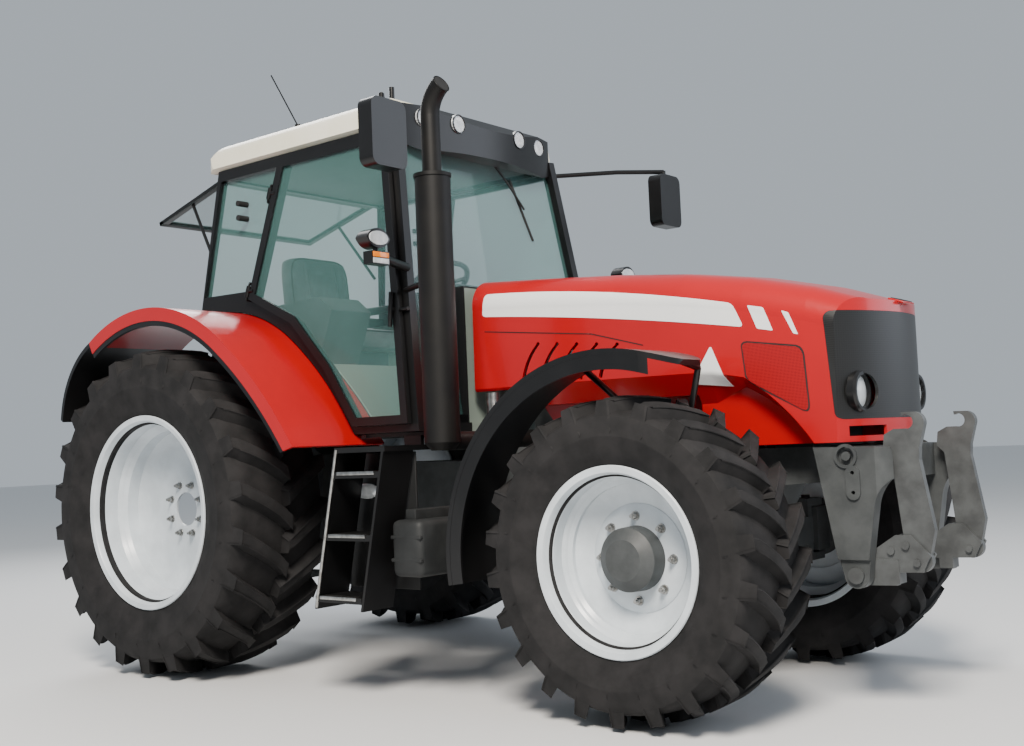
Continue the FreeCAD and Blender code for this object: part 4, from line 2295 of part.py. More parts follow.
def rear_linkage():
    x, z, r = s.rear_lift_x, s.rear_lift_z, s.rear_lift_r
    top = s.axle_case_top_z
    y = s.lift_arm_y
    shaft = rod("rear_lift_shaft", "y", x, z, r, -y - 30, y + 30)
    arm = prism(
        "rear_lift_arm",
        "XZ",
        [
            [
                (x + 60, z),
                Via(x, z - 62),
                (x - 40, z - 50),
                (s.lift_arm_end_x, s.lift_arm_end_z - 32),
                Via(s.lift_arm_end_x - 34, s.lift_arm_end_z),
                (s.lift_arm_end_x, s.lift_arm_end_z + 32),
                (x - 40, z + 58),
                Via(x + 20, z + 60),
            ],
            Ring(s.lift_arm_end_x, s.lift_arm_end_z, 14.3),
        ],
        -y - 20,
        -y + 20,
    )
    finish("rear_lift_arms", fuse("rear_lift_shape", shaft, arm, mirrored("rear_lift_arm_left", arm)))

    lx, lz, ly = s.link_pivot_x, s.link_pivot_z, s.link_y
    ex, ez, plate = s.link_end_x, s.link_end_z, s.link_plate
    mx = lx + (ex - lx) * s.rod_pin_share
    mz = lz + (ez - lz) * s.rod_pin_share
    link = prism(
        "lower_link",
        "XZ",
        [
            [
                (lx, lz - 44),
                Via(lx + 44, lz),
                (lx, lz + 44),
                (mx, mz + 58),
                (ex, ez + 46),
                Via(ex - 46, ez),
                (ex, ez - 46),
                (mx, mz - 52),
            ],
            Ring(ex, ez, s.link_ball_r),
            Ring(lx, lz, 16.3),
        ],
        -ly - plate / 2,
        -ly + plate / 2,
    )
    rod_pin = rod("link_pin", "y", mx, mz, 12, -ly + plate / 2 - 1, -y + 26)
    side = fuse("lower_link_side", link, rod_pin)
    finish("lower_links", fuse("lower_links_shape", side, mirrored("lower_link_left", side)))

    ax, az = s.lift_arm_end_x, s.lift_arm_end_z
    rod_y = -y - 20 - 4
    body = strut("lift_rod_bar", (ax, rod_y - 12, az - 30), (mx, rod_y - 12, mz + 29), 16)
    eye = rod("lift_rod_eye", "y", ax, az, 34, rod_y - 24, rod_y)
    pin = rod("lift_rod_pin", "y", ax, az, 14, rod_y - 24, -y + 26)
    foot = rod("lift_rod_foot", "y", mx, mz, 37, rod_y - 18, rod_y - 2)
    hole = rod("lift_rod_foot_hole", "y", mx, mz, 27, rod_y - 60, rod_y + 60)
    side = cut("lift_rod_side", fuse("lift_rod_solid", body, eye, pin, foot), hole)
    both("lift_rods", side)

    rear = s.axle_case_rear_x
    wide = s.axle_case_half_w
    hitch = [
        box("drawbar", (-880, rear + 300), (-45, 45), (s.drawbar_z - 38, s.drawbar_z)),
        box("drawbar_hanger", (rear + 20, rear + 120), (-140, 140), (s.drawbar_z - 1, s.axle_case_low_z + 20)),
        rod("pto_stub", "x", 0, s.pto_z, s.pto_r, rear - 90, rear + 5),
        box("pto_guard", (rear - 130, rear + 5), (-110, 110), (s.pto_z + 90, s.pto_z + 98)),
        box("coupler_block", (rear - 60, rear + 5), (-210, 210), (top - 260, top - 150)),
    ]
    for name, side in (("right", -1), ("left", 1)):
        inner, outer = side * (wide - 5), side * (ly - plate / 2 - 4)
        near, far = (outer, inner) if side < 0 else (inner, outer)
        hitch.append(box(f"link_bracket_{name}", (lx - 50, lx + 60), (near, far), (lz - 50, s.axle_case_low_z + 80)))
        pin_end = side * (ly + plate / 2 + 8)
        near, far = (pin_end, inner) if side < 0 else (inner, pin_end)
        hitch.append(rod(f"link_pivot_{name}", "y", lx, lz, 16, near, far))
    hole = rod("drawbar_hole", "z", -840, 0, s.drawbar_pin_r, s.drawbar_z - 60, s.drawbar_z + 20)
    finish("rear_hitch", cut("rear_hitch_shape", fuse("rear_hitch_solid", *hitch), hole, nodes["rear_axle_housing"]))


def build_all():
    for step in (
        rear_wheel,
        front_wheel,
        driveline,
        front_frame,
        front_axle,
        knuckles,
        rear_fenders,
        cab_frame,
        cab_tub,
        glass,
        doors,
        roof,
        bonnet,
        exhaust,
        steps,
        mirrors_and_lamps,
        interior,
        front_linkage,
        rear_linkage,
    ):
        step()


build_all()
document.recompute()
for thing in document.Objects:
    if "Invalid" in thing.State or "Error" in thing.State:
        raise RuntimeError(f"{thing.Name} failed: {thing.State}")
os.makedirs("parts", exist_ok=True)
for label, piece in nodes.items():
    shape = piece.Shape
    if shape.isNull() or not shape.isValid():
        raise RuntimeError(f"{label} has no valid shape")
    shape.exportStep(f"parts/{label}.step")
    box_now = shape.BoundBox
    spots = " ".join(f"{v:.0f}" for v in (box_now.XMin, box_now.XMax, box_now.YMin, box_now.YMax, box_now.ZMin, box_now.ZMax))
    print(label, len(shape.Solids), "solids", round(shape.Volume / 1e9, 4), "m3", spots)
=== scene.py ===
# %% [markdown]
# A farm tractor in a studio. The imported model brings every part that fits, turns or carries load, at
# its real size. This script gives those parts their finishes and adds what a close look shows: round
# tyres with their tread, pressed wheel discs, lamp glasses, stripes and small fittings. Everything is in
# metres in the model's own frame, with +X forward, +Y to the tractor's left and +Z up.

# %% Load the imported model
import json
import math

import bmesh
import bpy
from mathutils import Matrix, Vector
from mathutils.bvhtree import BVHTree


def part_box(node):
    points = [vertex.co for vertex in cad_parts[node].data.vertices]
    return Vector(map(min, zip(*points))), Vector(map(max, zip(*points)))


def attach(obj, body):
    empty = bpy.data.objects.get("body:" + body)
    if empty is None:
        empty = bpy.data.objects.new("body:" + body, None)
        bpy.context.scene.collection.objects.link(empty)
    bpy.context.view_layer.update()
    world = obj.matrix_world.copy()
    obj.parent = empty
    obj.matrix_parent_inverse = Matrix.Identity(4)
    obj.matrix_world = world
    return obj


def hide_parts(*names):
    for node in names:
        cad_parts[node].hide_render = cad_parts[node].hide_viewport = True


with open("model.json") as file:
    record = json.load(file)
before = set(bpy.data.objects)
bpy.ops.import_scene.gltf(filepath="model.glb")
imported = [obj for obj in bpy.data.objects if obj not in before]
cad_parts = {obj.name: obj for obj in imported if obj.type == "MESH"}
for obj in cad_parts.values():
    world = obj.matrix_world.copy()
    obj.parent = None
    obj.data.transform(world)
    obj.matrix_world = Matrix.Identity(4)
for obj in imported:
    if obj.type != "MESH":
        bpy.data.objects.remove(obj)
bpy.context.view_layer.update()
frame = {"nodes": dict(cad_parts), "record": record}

# %% [markdown]
# The camera stands where the photographer stood, low and near the front right corner. Its direction is
# given as a turn about the vertical, a tilt upwards and a slight roll, and the lens is a normal one. A
# camera looks along its own -Z, so its axes are built from the direction of view.

# %% Camera
def in_scene(name, data):
    """An object with this data, linked to the scene."""
    thing = bpy.data.objects.new(name, data)
    bpy.context.scene.collection.objects.link(thing)
    return thing


def axes_at(x_axis, y_axis, z_axis, place):
    """The matrix that lays an object's own axes along three directions, at a place."""
    matrix = Matrix((x_axis, y_axis, z_axis)).transposed().to_4x4()
    matrix.translation = place
    return matrix


CAMERA_PLACE = Vector((4.1715, -4.984, 1.131))
CAMERA_TURN = math.radians(128.94)
CAMERA_TILT = math.radians(3.36)
CAMERA_ROLL = math.radians(-2.46)
LENS_MM = 42.95

ahead = Vector((
    math.cos(CAMERA_TILT) * math.cos(CAMERA_TURN),
    math.cos(CAMERA_TILT) * math.sin(CAMERA_TURN),
    math.sin(CAMERA_TILT),
))
level_right = Vector((math.sin(CAMERA_TURN), -math.cos(CAMERA_TURN), 0))
level_up = level_right.cross(ahead)
right = math.cos(CAMERA_ROLL) * level_right + math.sin(CAMERA_ROLL) * level_up
up = -math.sin(CAMERA_ROLL) * level_right + math.cos(CAMERA_ROLL) * level_up

camera_data = bpy.data.cameras.new("camera")
camera_data.lens = LENS_MM
camera_data.sensor_width = 36
camera_data.clip_end = 200
camera = in_scene("camera", camera_data)
camera.matrix_world = axes_at(right, up, -ahead, CAMERA_PLACE)
bpy.context.scene.camera = camera

# %% [markdown]
# Colours are picked on a screen, where they are stored in sRGB. Cycles works with linear light, so one
# function turns a hex value into linear numbers. A second function adds one node to a material with its
# values and links, and each finish below is built from calls of it.

# %% Colour and node helpers
# Values of the noise where a mottle's two colours are full
MOTTLE_EDGES = (0.35, 0.65)


def linear(code, alpha=1.0):
    """An sRGB hex colour as linear red, green, blue and alpha."""
    channels = [int(code[i:i + 2], 16) / 255 for i in (1, 3, 5)]
    return tuple(c / 12.92 if c <= 0.04045 else ((c + 0.055) / 1.055) ** 2.4 for c in channels) + (alpha,)


def add_node(tree, kind, values=None, links=None, into=None):
    """Adds a node, sets its inputs or properties, and joins its inputs to other nodes' outputs.

    Its first output goes into the input named by into. Stops are the two ends of a colour ramp, each
    with its place and hex colour.
    """
    node = tree.nodes.new(kind)
    for name, value in (values or {}).items():
        if name == "stops":
            for index, (place, code) in enumerate(value):
                node.color_ramp.elements[index].position = place
                node.color_ramp.elements[index].color = linear(code)
        elif isinstance(name, int) or name in node.inputs:
            node.inputs[name].default_value = value
        else:
            setattr(node, name, value)
    for name, source in (links or {}).items():
        tree.links.new(source, node.inputs[name])
    if into is not None:
        tree.links.new(node.outputs[0], into)
    return node


def finish_named(name, colour, roughness, metallic=0.0, **sockets):
    """A material with its shader set, ready for its pattern nodes."""
    material = bpy.data.materials.new(name)
    material.use_nodes = True
    shader = material.node_tree.nodes["Principled BSDF"]
    shader.inputs["Base Color"].default_value = linear(colour)
    shader.inputs["Roughness"].default_value = roughness
    shader.inputs["Metallic"].default_value = metallic
    for socket, value in sockets.items():
        shader.inputs[socket.replace("_", " ")].default_value = value
    return material, material.node_tree, shader


def grain(tree, shader, size_mm, depth_mm, detail=3.0):
    """A fine relief of the surface: a noise whose lumps are size_mm wide and depth_mm deep."""
    place = add_node(tree, "ShaderNodeTexCoord").outputs["Object"]
    values = {"Scale": 1000 / size_mm, "Detail": detail}
    noise = add_node(tree, "ShaderNodeTexNoise", values, {"Vector": place})
    values = {"Distance": depth_mm / 1000, "Strength": 1.0}
    add_node(tree, "ShaderNodeBump", values, {"Height": noise.outputs["Fac"]}, shader.inputs["Normal"])
    return place


def mottle(tree, shader, place, size_mm, first, second):
    """Slow colour change across a surface, as from dust or weather, between two colours."""
    values = {"Scale": 1000 / size_mm, "Detail": 5.0, "Roughness": 0.6}
    cloud = add_node(tree, "ShaderNodeTexNoise", values, {"Vector": place})
    values = {"stops": ((MOTTLE_EDGES[0], first), (MOTTLE_EDGES[1], second))}
    colour = shader.inputs["Base Color"]
    add_node(tree, "ShaderNodeValToRGB", values, {"Fac": cloud.outputs["Fac"]}, colour)


def grained(name, colour, roughness, grains, tones=None, metallic=0.0, **sockets):
    """A material with a grain and, where tones are given, a mottle; both as their functions take them."""
    material, tree, shader = finish_named(name, colour, roughness, metallic, **sockets)
    place = grain(tree, shader, *grains)
    if tones:
        mottle(tree, shader, place, *tones)
    return material

# %% [markdown]
# The sheet metal is sprayed with a gloss red enamel. Enamel is a pigment under a clear skin, so the
# shader has a coat, and the spray leaves a faint orange peel a few millimetres across.

# %% Red enamel
red_enamel = grained(
    "gloss_red_enamel", "#A3020B", 0.30, (7.0, 0.03), (900, "#A0020A", "#AA040E"),
    Coat_Weight=0.3, Coat_Roughness=0.08,
)

# %% [markdown]
# The roof is a gel-coated moulding in warm cream. It is smooth, with a little weathering.

# %% Cream gel coat
cream_gelcoat = grained(
    "cream_gelcoat", "#DEDBC8", 0.34, (12.0, 0.05), (350, "#D9D5C0", "#E3E0D0"),
    Coat_Weight=0.4, Coat_Roughness=0.12,
)

# %% [markdown]
# Wheel discs and rims are pressed steel in a pale silver-grey enamel. It scatters light softly and shows
# a little road dust in a slow mottle.

# %% Silver-grey wheel enamel
wheel_enamel = grained(
    "silver_grey_wheel_enamel", "#C3CBD1", 0.34, (5.0, 0.04), (180, "#BAC2C8", "#CCD4DA"),
    Coat_Weight=0.35, Coat_Roughness=0.2,
)

# %% [markdown]
# Castings such as the front frame, axles and hubs are sand cast and painted dark grey. The sand leaves a
# rough skin that the paint doesn't hide.

# %% Dark grey casting enamel
casting_enamel = grained(
    "dark_grey_casting_enamel", "#3D4042", 0.52, (3.5, 0.25, 5.0), (140, "#36393A", "#484B4C"),
    Specular_IOR_Level=0.4,
)

linkage_enamel = grained(
    "grey_linkage_enamel", "#414446", 0.48, (4.0, 0.15, 4.0), (90, "#393B3C", "#4C4F50")
)

# %% [markdown]
# Tyre rubber is filled with carbon black and cured in a mould. It is dark, rough and slightly brown
# where field dust has settled.

# %% Tyre rubber
tyre_rubber = grained(
    "cured_tyre_rubber", "#1B1B1C", 0.8, (2.5, 0.2, 6.0), (110, "#171718", "#252425"),
    Specular_IOR_Level=0.25,
)

# %% [markdown]
# Fenders, tank and covers are black polymer, moulded with a fine skin. The front fenders are glossier
# than the tank and toolbox, which have a leathery mould texture.

# %% Black polymers
gloss_polymer = grained(
    "semi_gloss_black_polymer", "#0B0B0C", 0.28, (2.0, 0.05), (260, "#0C0C0D", "#131314"),
    Specular_IOR_Level=0.4,
)

rough_polymer = grained(
    "textured_black_polymer", "#121314", 0.6, (1.8, 0.15, 4.0), (200, "#101112", "#18191A"),
    Specular_IOR_Level=0.35,
)

grey_polymer = grained(
    "textured_grey_polymer", "#202223", 0.62, (2.0, 0.2, 4.0), (120, "#1B1D1E", "#27292A"),
    Specular_IOR_Level=0.35,
)

# %% [markdown]
# The cab's tubes and doors are powder coated in satin black. Powder melts into a faintly pebbled skin.

# %% Black powder coat
powder_coat = grained(
    "satin_black_powder_coat", "#0C0C0D", 0.38, (1.5, 0.04), (300, "#0A0A0B", "#101011"),
    Specular_IOR_Level=0.35,
)

exhaust_paint = grained(
    "heat_proof_black_paint", "#0C0C0D", 0.5, (1.6, 0.12, 4.0), (160, "#0A0A0B", "#131211"),
    Specular_IOR_Level=0.25,
)

# %% [markdown]
# Inside the cab the lining is a pale grey-green moulding, the console is darker plastic and the seat is
# woven cloth. A weave is two sets of threads at right angles, drawn 3 mm apart so that it shows. Floor,
# cowl and back wall are one part, pale inside and behind and black elsewhere. Its finish tells the two
# apart by place, with tests on the Object coordinates. SCREEN measures forward along a plane that leans
# as the windscreen does.

# %% Cab interior finishes
SCREEN_SLOPE = 0.143


def within(tree, place, limits):
    """1 where every (axis, comparison, limit) test holds, 0 elsewhere."""
    parts = add_node(tree, "ShaderNodeSeparateXYZ", links={0: place})
    values = {"operation": "DOT_PRODUCT", 1: (1.0, 0.0, SCREEN_SLOPE)}
    leaning = add_node(tree, "ShaderNodeVectorMath", values, {0: place})
    share = None
    for axis, comparison, limit in limits:
        source = leaning.outputs["Value"] if axis == "SCREEN" else parts.outputs[axis]
        test = add_node(tree, "ShaderNodeMath", {"operation": comparison, 1: limit}, {0: source})
        if share is not None:
            both = {0: share, 1: test.outputs[0]}
            test = add_node(tree, "ShaderNodeMath", {"operation": "MULTIPLY"}, both)
        share = test.outputs[0]
    return share


CABIN = (
    ("SCREEN", "LESS_THAN", 0.332),
    ("X", "GREATER_THAN", -1.485),
    ("Y", "LESS_THAN", 0.612),
    ("Y", "GREATER_THAN", -0.612),
    ("Z", "GREATER_THAN", 1.207),
)
COWL = (
    ("X", "LESS_THAN", 0.27),
    ("Y", "LESS_THAN", 0.416),
    ("Y", "GREATER_THAN", -0.416),
    ("Z", "GREATER_THAN", 1.207),
    ("Z", "LESS_THAN", 1.922),
)
cab_lining, tree, shader = finish_named("cab_lining_black_outside", "#A6B3A9", 0.6)
place = grain(tree, shader, 2.2, 0.12, 4.0)
shares = {0: within(tree, place, CABIN), 1: within(tree, place, COWL)}
inside = add_node(tree, "ShaderNodeMath", {"operation": "MAXIMUM"}, shares)
values = {"stops": ((0.0, "#131415"), (1.0, "#8E9B92"))}
add_node(tree, "ShaderNodeValToRGB", values, {"Fac": inside.outputs[0]}, shader.inputs["Base Color"])

console_plastic = grained(
    "dark_grey_cab_plastic", "#3A3D40", 0.55, (1.8, 0.12, 4.0), (150, "#34373A", "#43464A")
)

seat_cloth, tree, shader = finish_named("woven_seat_cloth", "#4A4F54", 0.9, Sheen_Weight=0.3)
THREAD_MM = 3.0
place = add_node(tree, "ShaderNodeTexCoord").outputs["Object"]
threads = {}
for index, direction in enumerate(("X", "Z")):
    values = {"bands_direction": direction, "Scale": 1000 / THREAD_MM / 20 * math.pi, "Distortion": 1.0}
    threads[index] = add_node(tree, "ShaderNodeTexWave", values, {"Vector": place}).outputs["Fac"]
weave = add_node(tree, "ShaderNodeMath", {"operation": "ADD"}, threads).outputs[0]
add_node(tree, "ShaderNodeBump", {"Distance": 0.0006}, {"Height": weave}, shader.inputs["Normal"])
mottle(tree, shader, place, 60, "#42474C", "#555A60")

# %% [markdown]
# Cab glass is green-tinted safety glass. Seen square on it is nearly clear, and at a glancing angle it
# mirrors the sky, so its opacity grows with the angle of view.

# %% Safety glass
def glass_named(name, colour, clear, glancing):
    """Glass with one opacity seen square on and another at a glancing angle."""
    material, tree, shader = finish_named(name, colour, 0.02, Specular_IOR_Level=0.6)
    edge = add_node(tree, "ShaderNodeLayerWeight", {"Blend": 0.35})
    values = {"To Min": clear, "To Max": glancing}
    veil = add_node(tree, "ShaderNodeMapRange", values, {"Value": edge.outputs["Facing"]})
    tree.links.new(veil.outputs["Result"], shader.inputs["Alpha"])
    return material


cab_glass = glass_named("green_tinted_safety_glass", "#5C8C88", 0.10, 0.42)
lamp_glass = glass_named("clear_lamp_glass", "#DDE3E6", 0.3, 0.8)

# %% [markdown]
# Small bright things: chrome reflectors, zinc-plated nuts, amber and red lenses and mirror glass.

# %% Bright metals and lenses
chrome = grained("chromed_reflector", "#E8EAEC", 0.08, (9.0, 0.02), metallic=1.0)
bright_steel = grained(
    "worn_bright_steel", "#A8A8A6", 0.3, (3.0, 0.05), (30, "#8E8D8A", "#B5B5B3"), metallic=1.0
)
amber_lens = grained("amber_lens", "#E07A12", 0.15, (4.0, 0.2), Coat_Weight=0.6)
red_lens = grained("red_lens", "#A80F14", 0.15, (4.0, 0.2), Coat_Weight=0.6)
mirror_glass = grained("mirror_glass", "#C8CDD0", 0.03, (60.0, 0.02), metallic=1.0)
stripe_film = grained("white_stripe_film", "#E8EAEA", 0.3, (9.0, 0.02), Coat_Weight=0.5)

# %% [markdown]
# Punched sheet metal shows its holes as dark dots on a square grid; the dark of a hole is painted shade
# seen through it. The pattern is a cell pattern without any scatter, flattened along the direction that
# the holes go through.

# %% Punched sheets, lamp lenses and rubber
# Distances from a hole's middle, as shares of the grid's step, between which its edge lies
HOLE_EDGE = (0.30, 0.36)


def punched(name, colour, hole_shade_colour, pitch_mm, rows_along, roughness=0.45):
    """Sheet with round holes; rows_along is 1 on the axes that the grid lies in and 0 on the third."""
    material, tree, shader = finish_named(name, colour, roughness)
    place = add_node(tree, "ShaderNodeTexCoord").outputs["Object"]
    flat = add_node(tree, "ShaderNodeVectorMath", {"operation": "MULTIPLY", 1: rows_along}, {0: place})
    values = {"Scale": 1000 / pitch_mm, "Randomness": 0.0}
    cells = add_node(tree, "ShaderNodeTexVoronoi", values, {"Vector": flat.outputs["Vector"]})
    # The holes get a dark colour: painted shade seen through them.
    values = {"stops": ((HOLE_EDGE[0], hole_shade_colour), (HOLE_EDGE[1], colour))}
    links = {"Fac": cells.outputs["Distance"]}
    add_node(tree, "ShaderNodeValToRGB", values, links, shader.inputs["Base Color"])
    return material


# The second colour of each sheet is the painted shade inside its holes.
nose_mesh = punched("punched_black_grille", "#161718", "#040404", 9.0, (0.0, 1.0, 1.0))
side_mesh = punched("punched_red_panel", "#A0030C", "#5A0408", 6.0, (1.0, 0.0, 1.0), 0.35)

fluted_lens, tree, shader = finish_named("fluted_lamp_lens", "#D4D9DC", 0.12, 0.35, Coat_Weight=0.8)
place = add_node(tree, "ShaderNodeTexCoord").outputs["Object"]
values = {"bands_direction": "Y", "Scale": 40.0, "Distortion": 0.0}
flutes = add_node(tree, "ShaderNodeTexWave", values, {"Vector": place}).outputs["Fac"]
add_node(tree, "ShaderNodeBump", {"Distance": 0.0015}, {"Height": flutes}, shader.inputs["Normal"])
mottle(tree, shader, place, 40, "#C2C8CC", "#E6EAEC")

black_rubber = grained("black_rubber", "#121212", 0.7, (2.0, 0.1), (60, "#0E0E0E", "#1A1A1A"))

# %% [markdown]
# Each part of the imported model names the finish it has, and here those names are matched to the
# materials above. Three parts have a finish of their own. The mesh itself isn't touched.

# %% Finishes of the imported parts
FINISHES = {
    "tyre": tyre_rubber,
    "rim": wheel_enamel,
    "casting": casting_enamel,
    "steel": bright_steel,
    "core": rough_polymer,
    "fender_black": gloss_polymer,
    "red_paint": red_enamel,
    "cab_black": powder_coat,
    "cab_lining": cab_lining,
    "glass": cab_glass,
    "window_glass": cab_glass,
    "cream": cream_gelcoat,
    "trim_black": gloss_polymer,
    "lamp": lamp_glass,
    "exhaust_black": exhaust_paint,
    "steps_black": powder_coat,
    "box_grey": grey_polymer,
    "tank_black": rough_polymer,
    "seat_cloth": seat_cloth,
    "console_grey": console_plastic,
    "linkage_grey": linkage_enamel,
}
NODE_FINISHES = {"headlamps": rough_polymer, "roof_lamps": fluted_lens, "nose_grille": nose_mesh}
finish_of = {part["node"]: part["material_slot"] for part in frame["record"]["subparts"]}
for name, node in frame["nodes"].items():
    for slot in node.material_slots:
        slot.material = NODE_FINISHES.get(name, FINISHES[finish_of[name]])
print(len(frame["nodes"]), "packed parts have their finish")

# %% [markdown]
# New pieces all end the same way: the bmesh becomes a mesh, its faces point outwards, it gets a finish
# and it rides on one of the model's bodies, so that it turns or opens with it.

# %% Helpers for new pieces
ABOUT_X, ABOUT_Y = (1, 0, 0), (0, 1, 0)
WELD = 1e-5


def in_place(bm, name, material, body, crease_deg=35):
    """Turns a bmesh into a piece of the model, at the origin, riding on a body."""
    bmesh.ops.remove_doubles(bm, verts=bm.verts, dist=WELD)
    bare = [edge for edge in bm.edges if not edge.link_faces]
    bmesh.ops.delete(bm, geom=bare, context="EDGES")
    bmesh.ops.recalc_face_normals(bm, faces=bm.faces)
    mesh = bpy.data.meshes.new(name)
    bm.to_mesh(mesh)
    bm.free()
    piece = in_scene(name, mesh)
    mesh.materials.append(material)
    mesh.shade_smooth()
    mesh.set_sharp_from_angle(angle=math.radians(crease_deg))
    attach(piece, body)
    print(name, "has", len(mesh.polygons), "faces")
    return piece


def merge_in(target, source):
    """Adds one bmesh to another and frees it."""
    mesh = bpy.data.meshes.new("merged")
    source.to_mesh(mesh)
    source.free()
    target.from_mesh(mesh)
    bpy.data.meshes.remove(mesh)


def turn_profile(profile, steps, axis, centre=(0, 0, 0)):
    """Spins a closed profile of (x, y) corners about an axis and moves it to a centre."""
    bm = bmesh.new()
    ring = [bm.verts.new((x, y, 0)) for x, y in profile]
    edges = [bm.edges.new((a, b)) for a, b in zip(ring, ring[1:] + ring[:1])]
    bmesh.ops.spin(
        bm, geom=ring + edges, cent=(0, 0, 0), axis=axis, angle=math.tau, steps=steps, use_merge=True
    )
    bmesh.ops.translate(bm, verts=bm.verts, vec=centre)
    return bm


def mirror_across(bm):
    """Adds the left side's copy of what was made for the right side."""
    copy = bmesh.ops.duplicate(bm, geom=bm.verts[:] + bm.edges[:] + bm.faces[:])
    verts = [g for g in copy["geom"] if isinstance(g, bmesh.types.BMVert)]
    bmesh.ops.scale(bm, vec=(1, -1, 1), verts=verts)


def block(bm, low, high, rounding=0.0):
    """Adds a block between two corners, its edges rounded."""
    made = bmesh.ops.create_cube(bm, size=1.0)
    low, high = Vector(low), Vector(high)
    bmesh.ops.scale(bm, vec=high - low, verts=made["verts"])
    bmesh.ops.translate(bm, vec=(low + high) / 2, verts=made["verts"])
    if rounding:
        edges = list({e for v in made["verts"] for e in v.link_edges})
        bmesh.ops.bevel(
            bm, geom=edges, offset=rounding, segments=3, profile=0.5, affect="EDGES", material=-1
        )


def bar(bm, start, end, radius, sides=16):
    """Adds a round bar between two points."""
    start, end = Vector(start), Vector(end)
    long = (end - start).length
    made = bmesh.ops.create_cone(
        bm, cap_ends=True, segments=sides, radius1=radius, radius2=radius, depth=long
    )
    turn = (end - start).to_track_quat("Z", "Y").to_matrix()
    bmesh.ops.rotate(bm, matrix=turn, verts=made["verts"])
    bmesh.ops.translate(bm, vec=(start + end) / 2, verts=made["verts"])

# %% [markdown]
# A farm tyre is a rounded casing with long bars across the tread, set as an arrow so that mud is pushed
# out sideways. The casing is one profile spun about the axle. A bar starts as a cube, is cut lengthwise
# and is bent onto the casing by moving its corners; copies of it go round the tyre.

# %% Tyres
SIDES = {"right": -1, "left": 1}
BARS = 22
BAR_CUTS = 7
CASING_STEPS = 132
TREAD_SHARES = (-1, -0.75, -0.5, -0.25, 0, 0.25, 0.5, 0.75, 1)
TREAD_WIDTH = 0.9
SHOULDER_DROP = 0.035
# Depth down the side wall as a share of its whole, and width as a share of the tyre's half
SIDE_WALL = (
    (0.06, 0.965), (0.18, 0.992), (0.36, 0.985), (0.38, 0.992),
    (0.41, 0.992), (0.43, 0.982), (0.62, 0.955),
)
LOW_WALL_DEPTH, LOW_WALL_WIDTH = 0.80, 0.95
# Radius and width past the rim's edge
BEAD = ((0.020, 0.006), (-0.004, -0.012), (-0.024, -0.022))
BAR_SLANT = 0.62
BAR_START = -0.02
BAR_TOP_DROP = 1.1
BAR_SINK = 0.01
BAR_END_DEPTH = 0.26
BAR_TOP_REACH, BAR_FOOT_REACH = 0.955, 0.985
BAR_TOP_WIDTH, BAR_FOOT_WIDTH = 0.030, 0.046
OUTER_FLARE, INNER_FLARE = 0.22, 0.15
BAR_CURVE = 0.85
BAR_EDGE = 0.006
SHARP = math.radians(50)


def tyre_radius(y_share, crown, drop):
    """The casing's radius across the tread, a little lower towards the shoulders."""
    return crown - drop * abs(y_share) ** 2.4


def make_bar(side, outer, half, crown, drop, shoulder, rim_radius):
    """One tread bar of one side, bent onto the casing at the tyre's front."""
    bm = bmesh.new()
    bmesh.ops.create_cube(bm, size=1.0)
    lengthwise = [e for e in bm.edges if abs(e.verts[0].co.y - e.verts[1].co.y) > 0.5]
    bmesh.ops.subdivide_edges(bm, edges=lengthwise, cuts=BAR_CUTS, use_grid_fill=True)
    slant = BAR_SLANT * half / outer
    for vert in bm.verts:
        along = vert.co.y + 0.5
        top = vert.co.z > 0
        share = BAR_START + along
        if top:
            radius = tyre_radius(min(share, 1.0), outer, drop * BAR_TOP_DROP)
        else:
            radius = tyre_radius(min(share, 1.0), crown, drop) - BAR_SINK
        y = share * half * (BAR_TOP_REACH if top else BAR_FOOT_REACH)
        if along > 0.99 and not top:
            radius = shoulder - BAR_END_DEPTH * (shoulder - rim_radius)
            y = half * BAR_FOOT_REACH
        flare = 1.0 + OUTER_FLARE * along ** 2 + INNER_FLARE * (1 - along) ** 3
        width = (BAR_TOP_WIDTH if top else BAR_FOOT_WIDTH) * outer * flare
        angle = slant * (along ** BAR_CURVE - 1) + vert.co.x * 2 * width / radius
        vert.co = (radius * math.cos(angle), side * y, radius * math.sin(angle))
    sharp_edges = [
        edge
        for edge in bm.edges
        if edge.calc_length() > 0 and len(edge.link_faces) == 2 and edge.calc_face_angle(0) > SHARP
    ]
    bmesh.ops.bevel(
        bm, geom=sharp_edges, offset=BAR_EDGE, segments=2, profile=0.5, affect="EDGES", material=-1
    )
    for vert in bm.verts:
        reach = math.hypot(vert.co.x, vert.co.z)
        if reach > outer:
            vert.co.x *= outer / reach
            vert.co.z *= outer / reach
        vert.co.y = max(-half, min(half, vert.co.y))
    mesh = bpy.data.meshes.new("bar")
    bm.to_mesh(mesh)
    bm.free()
    return mesh


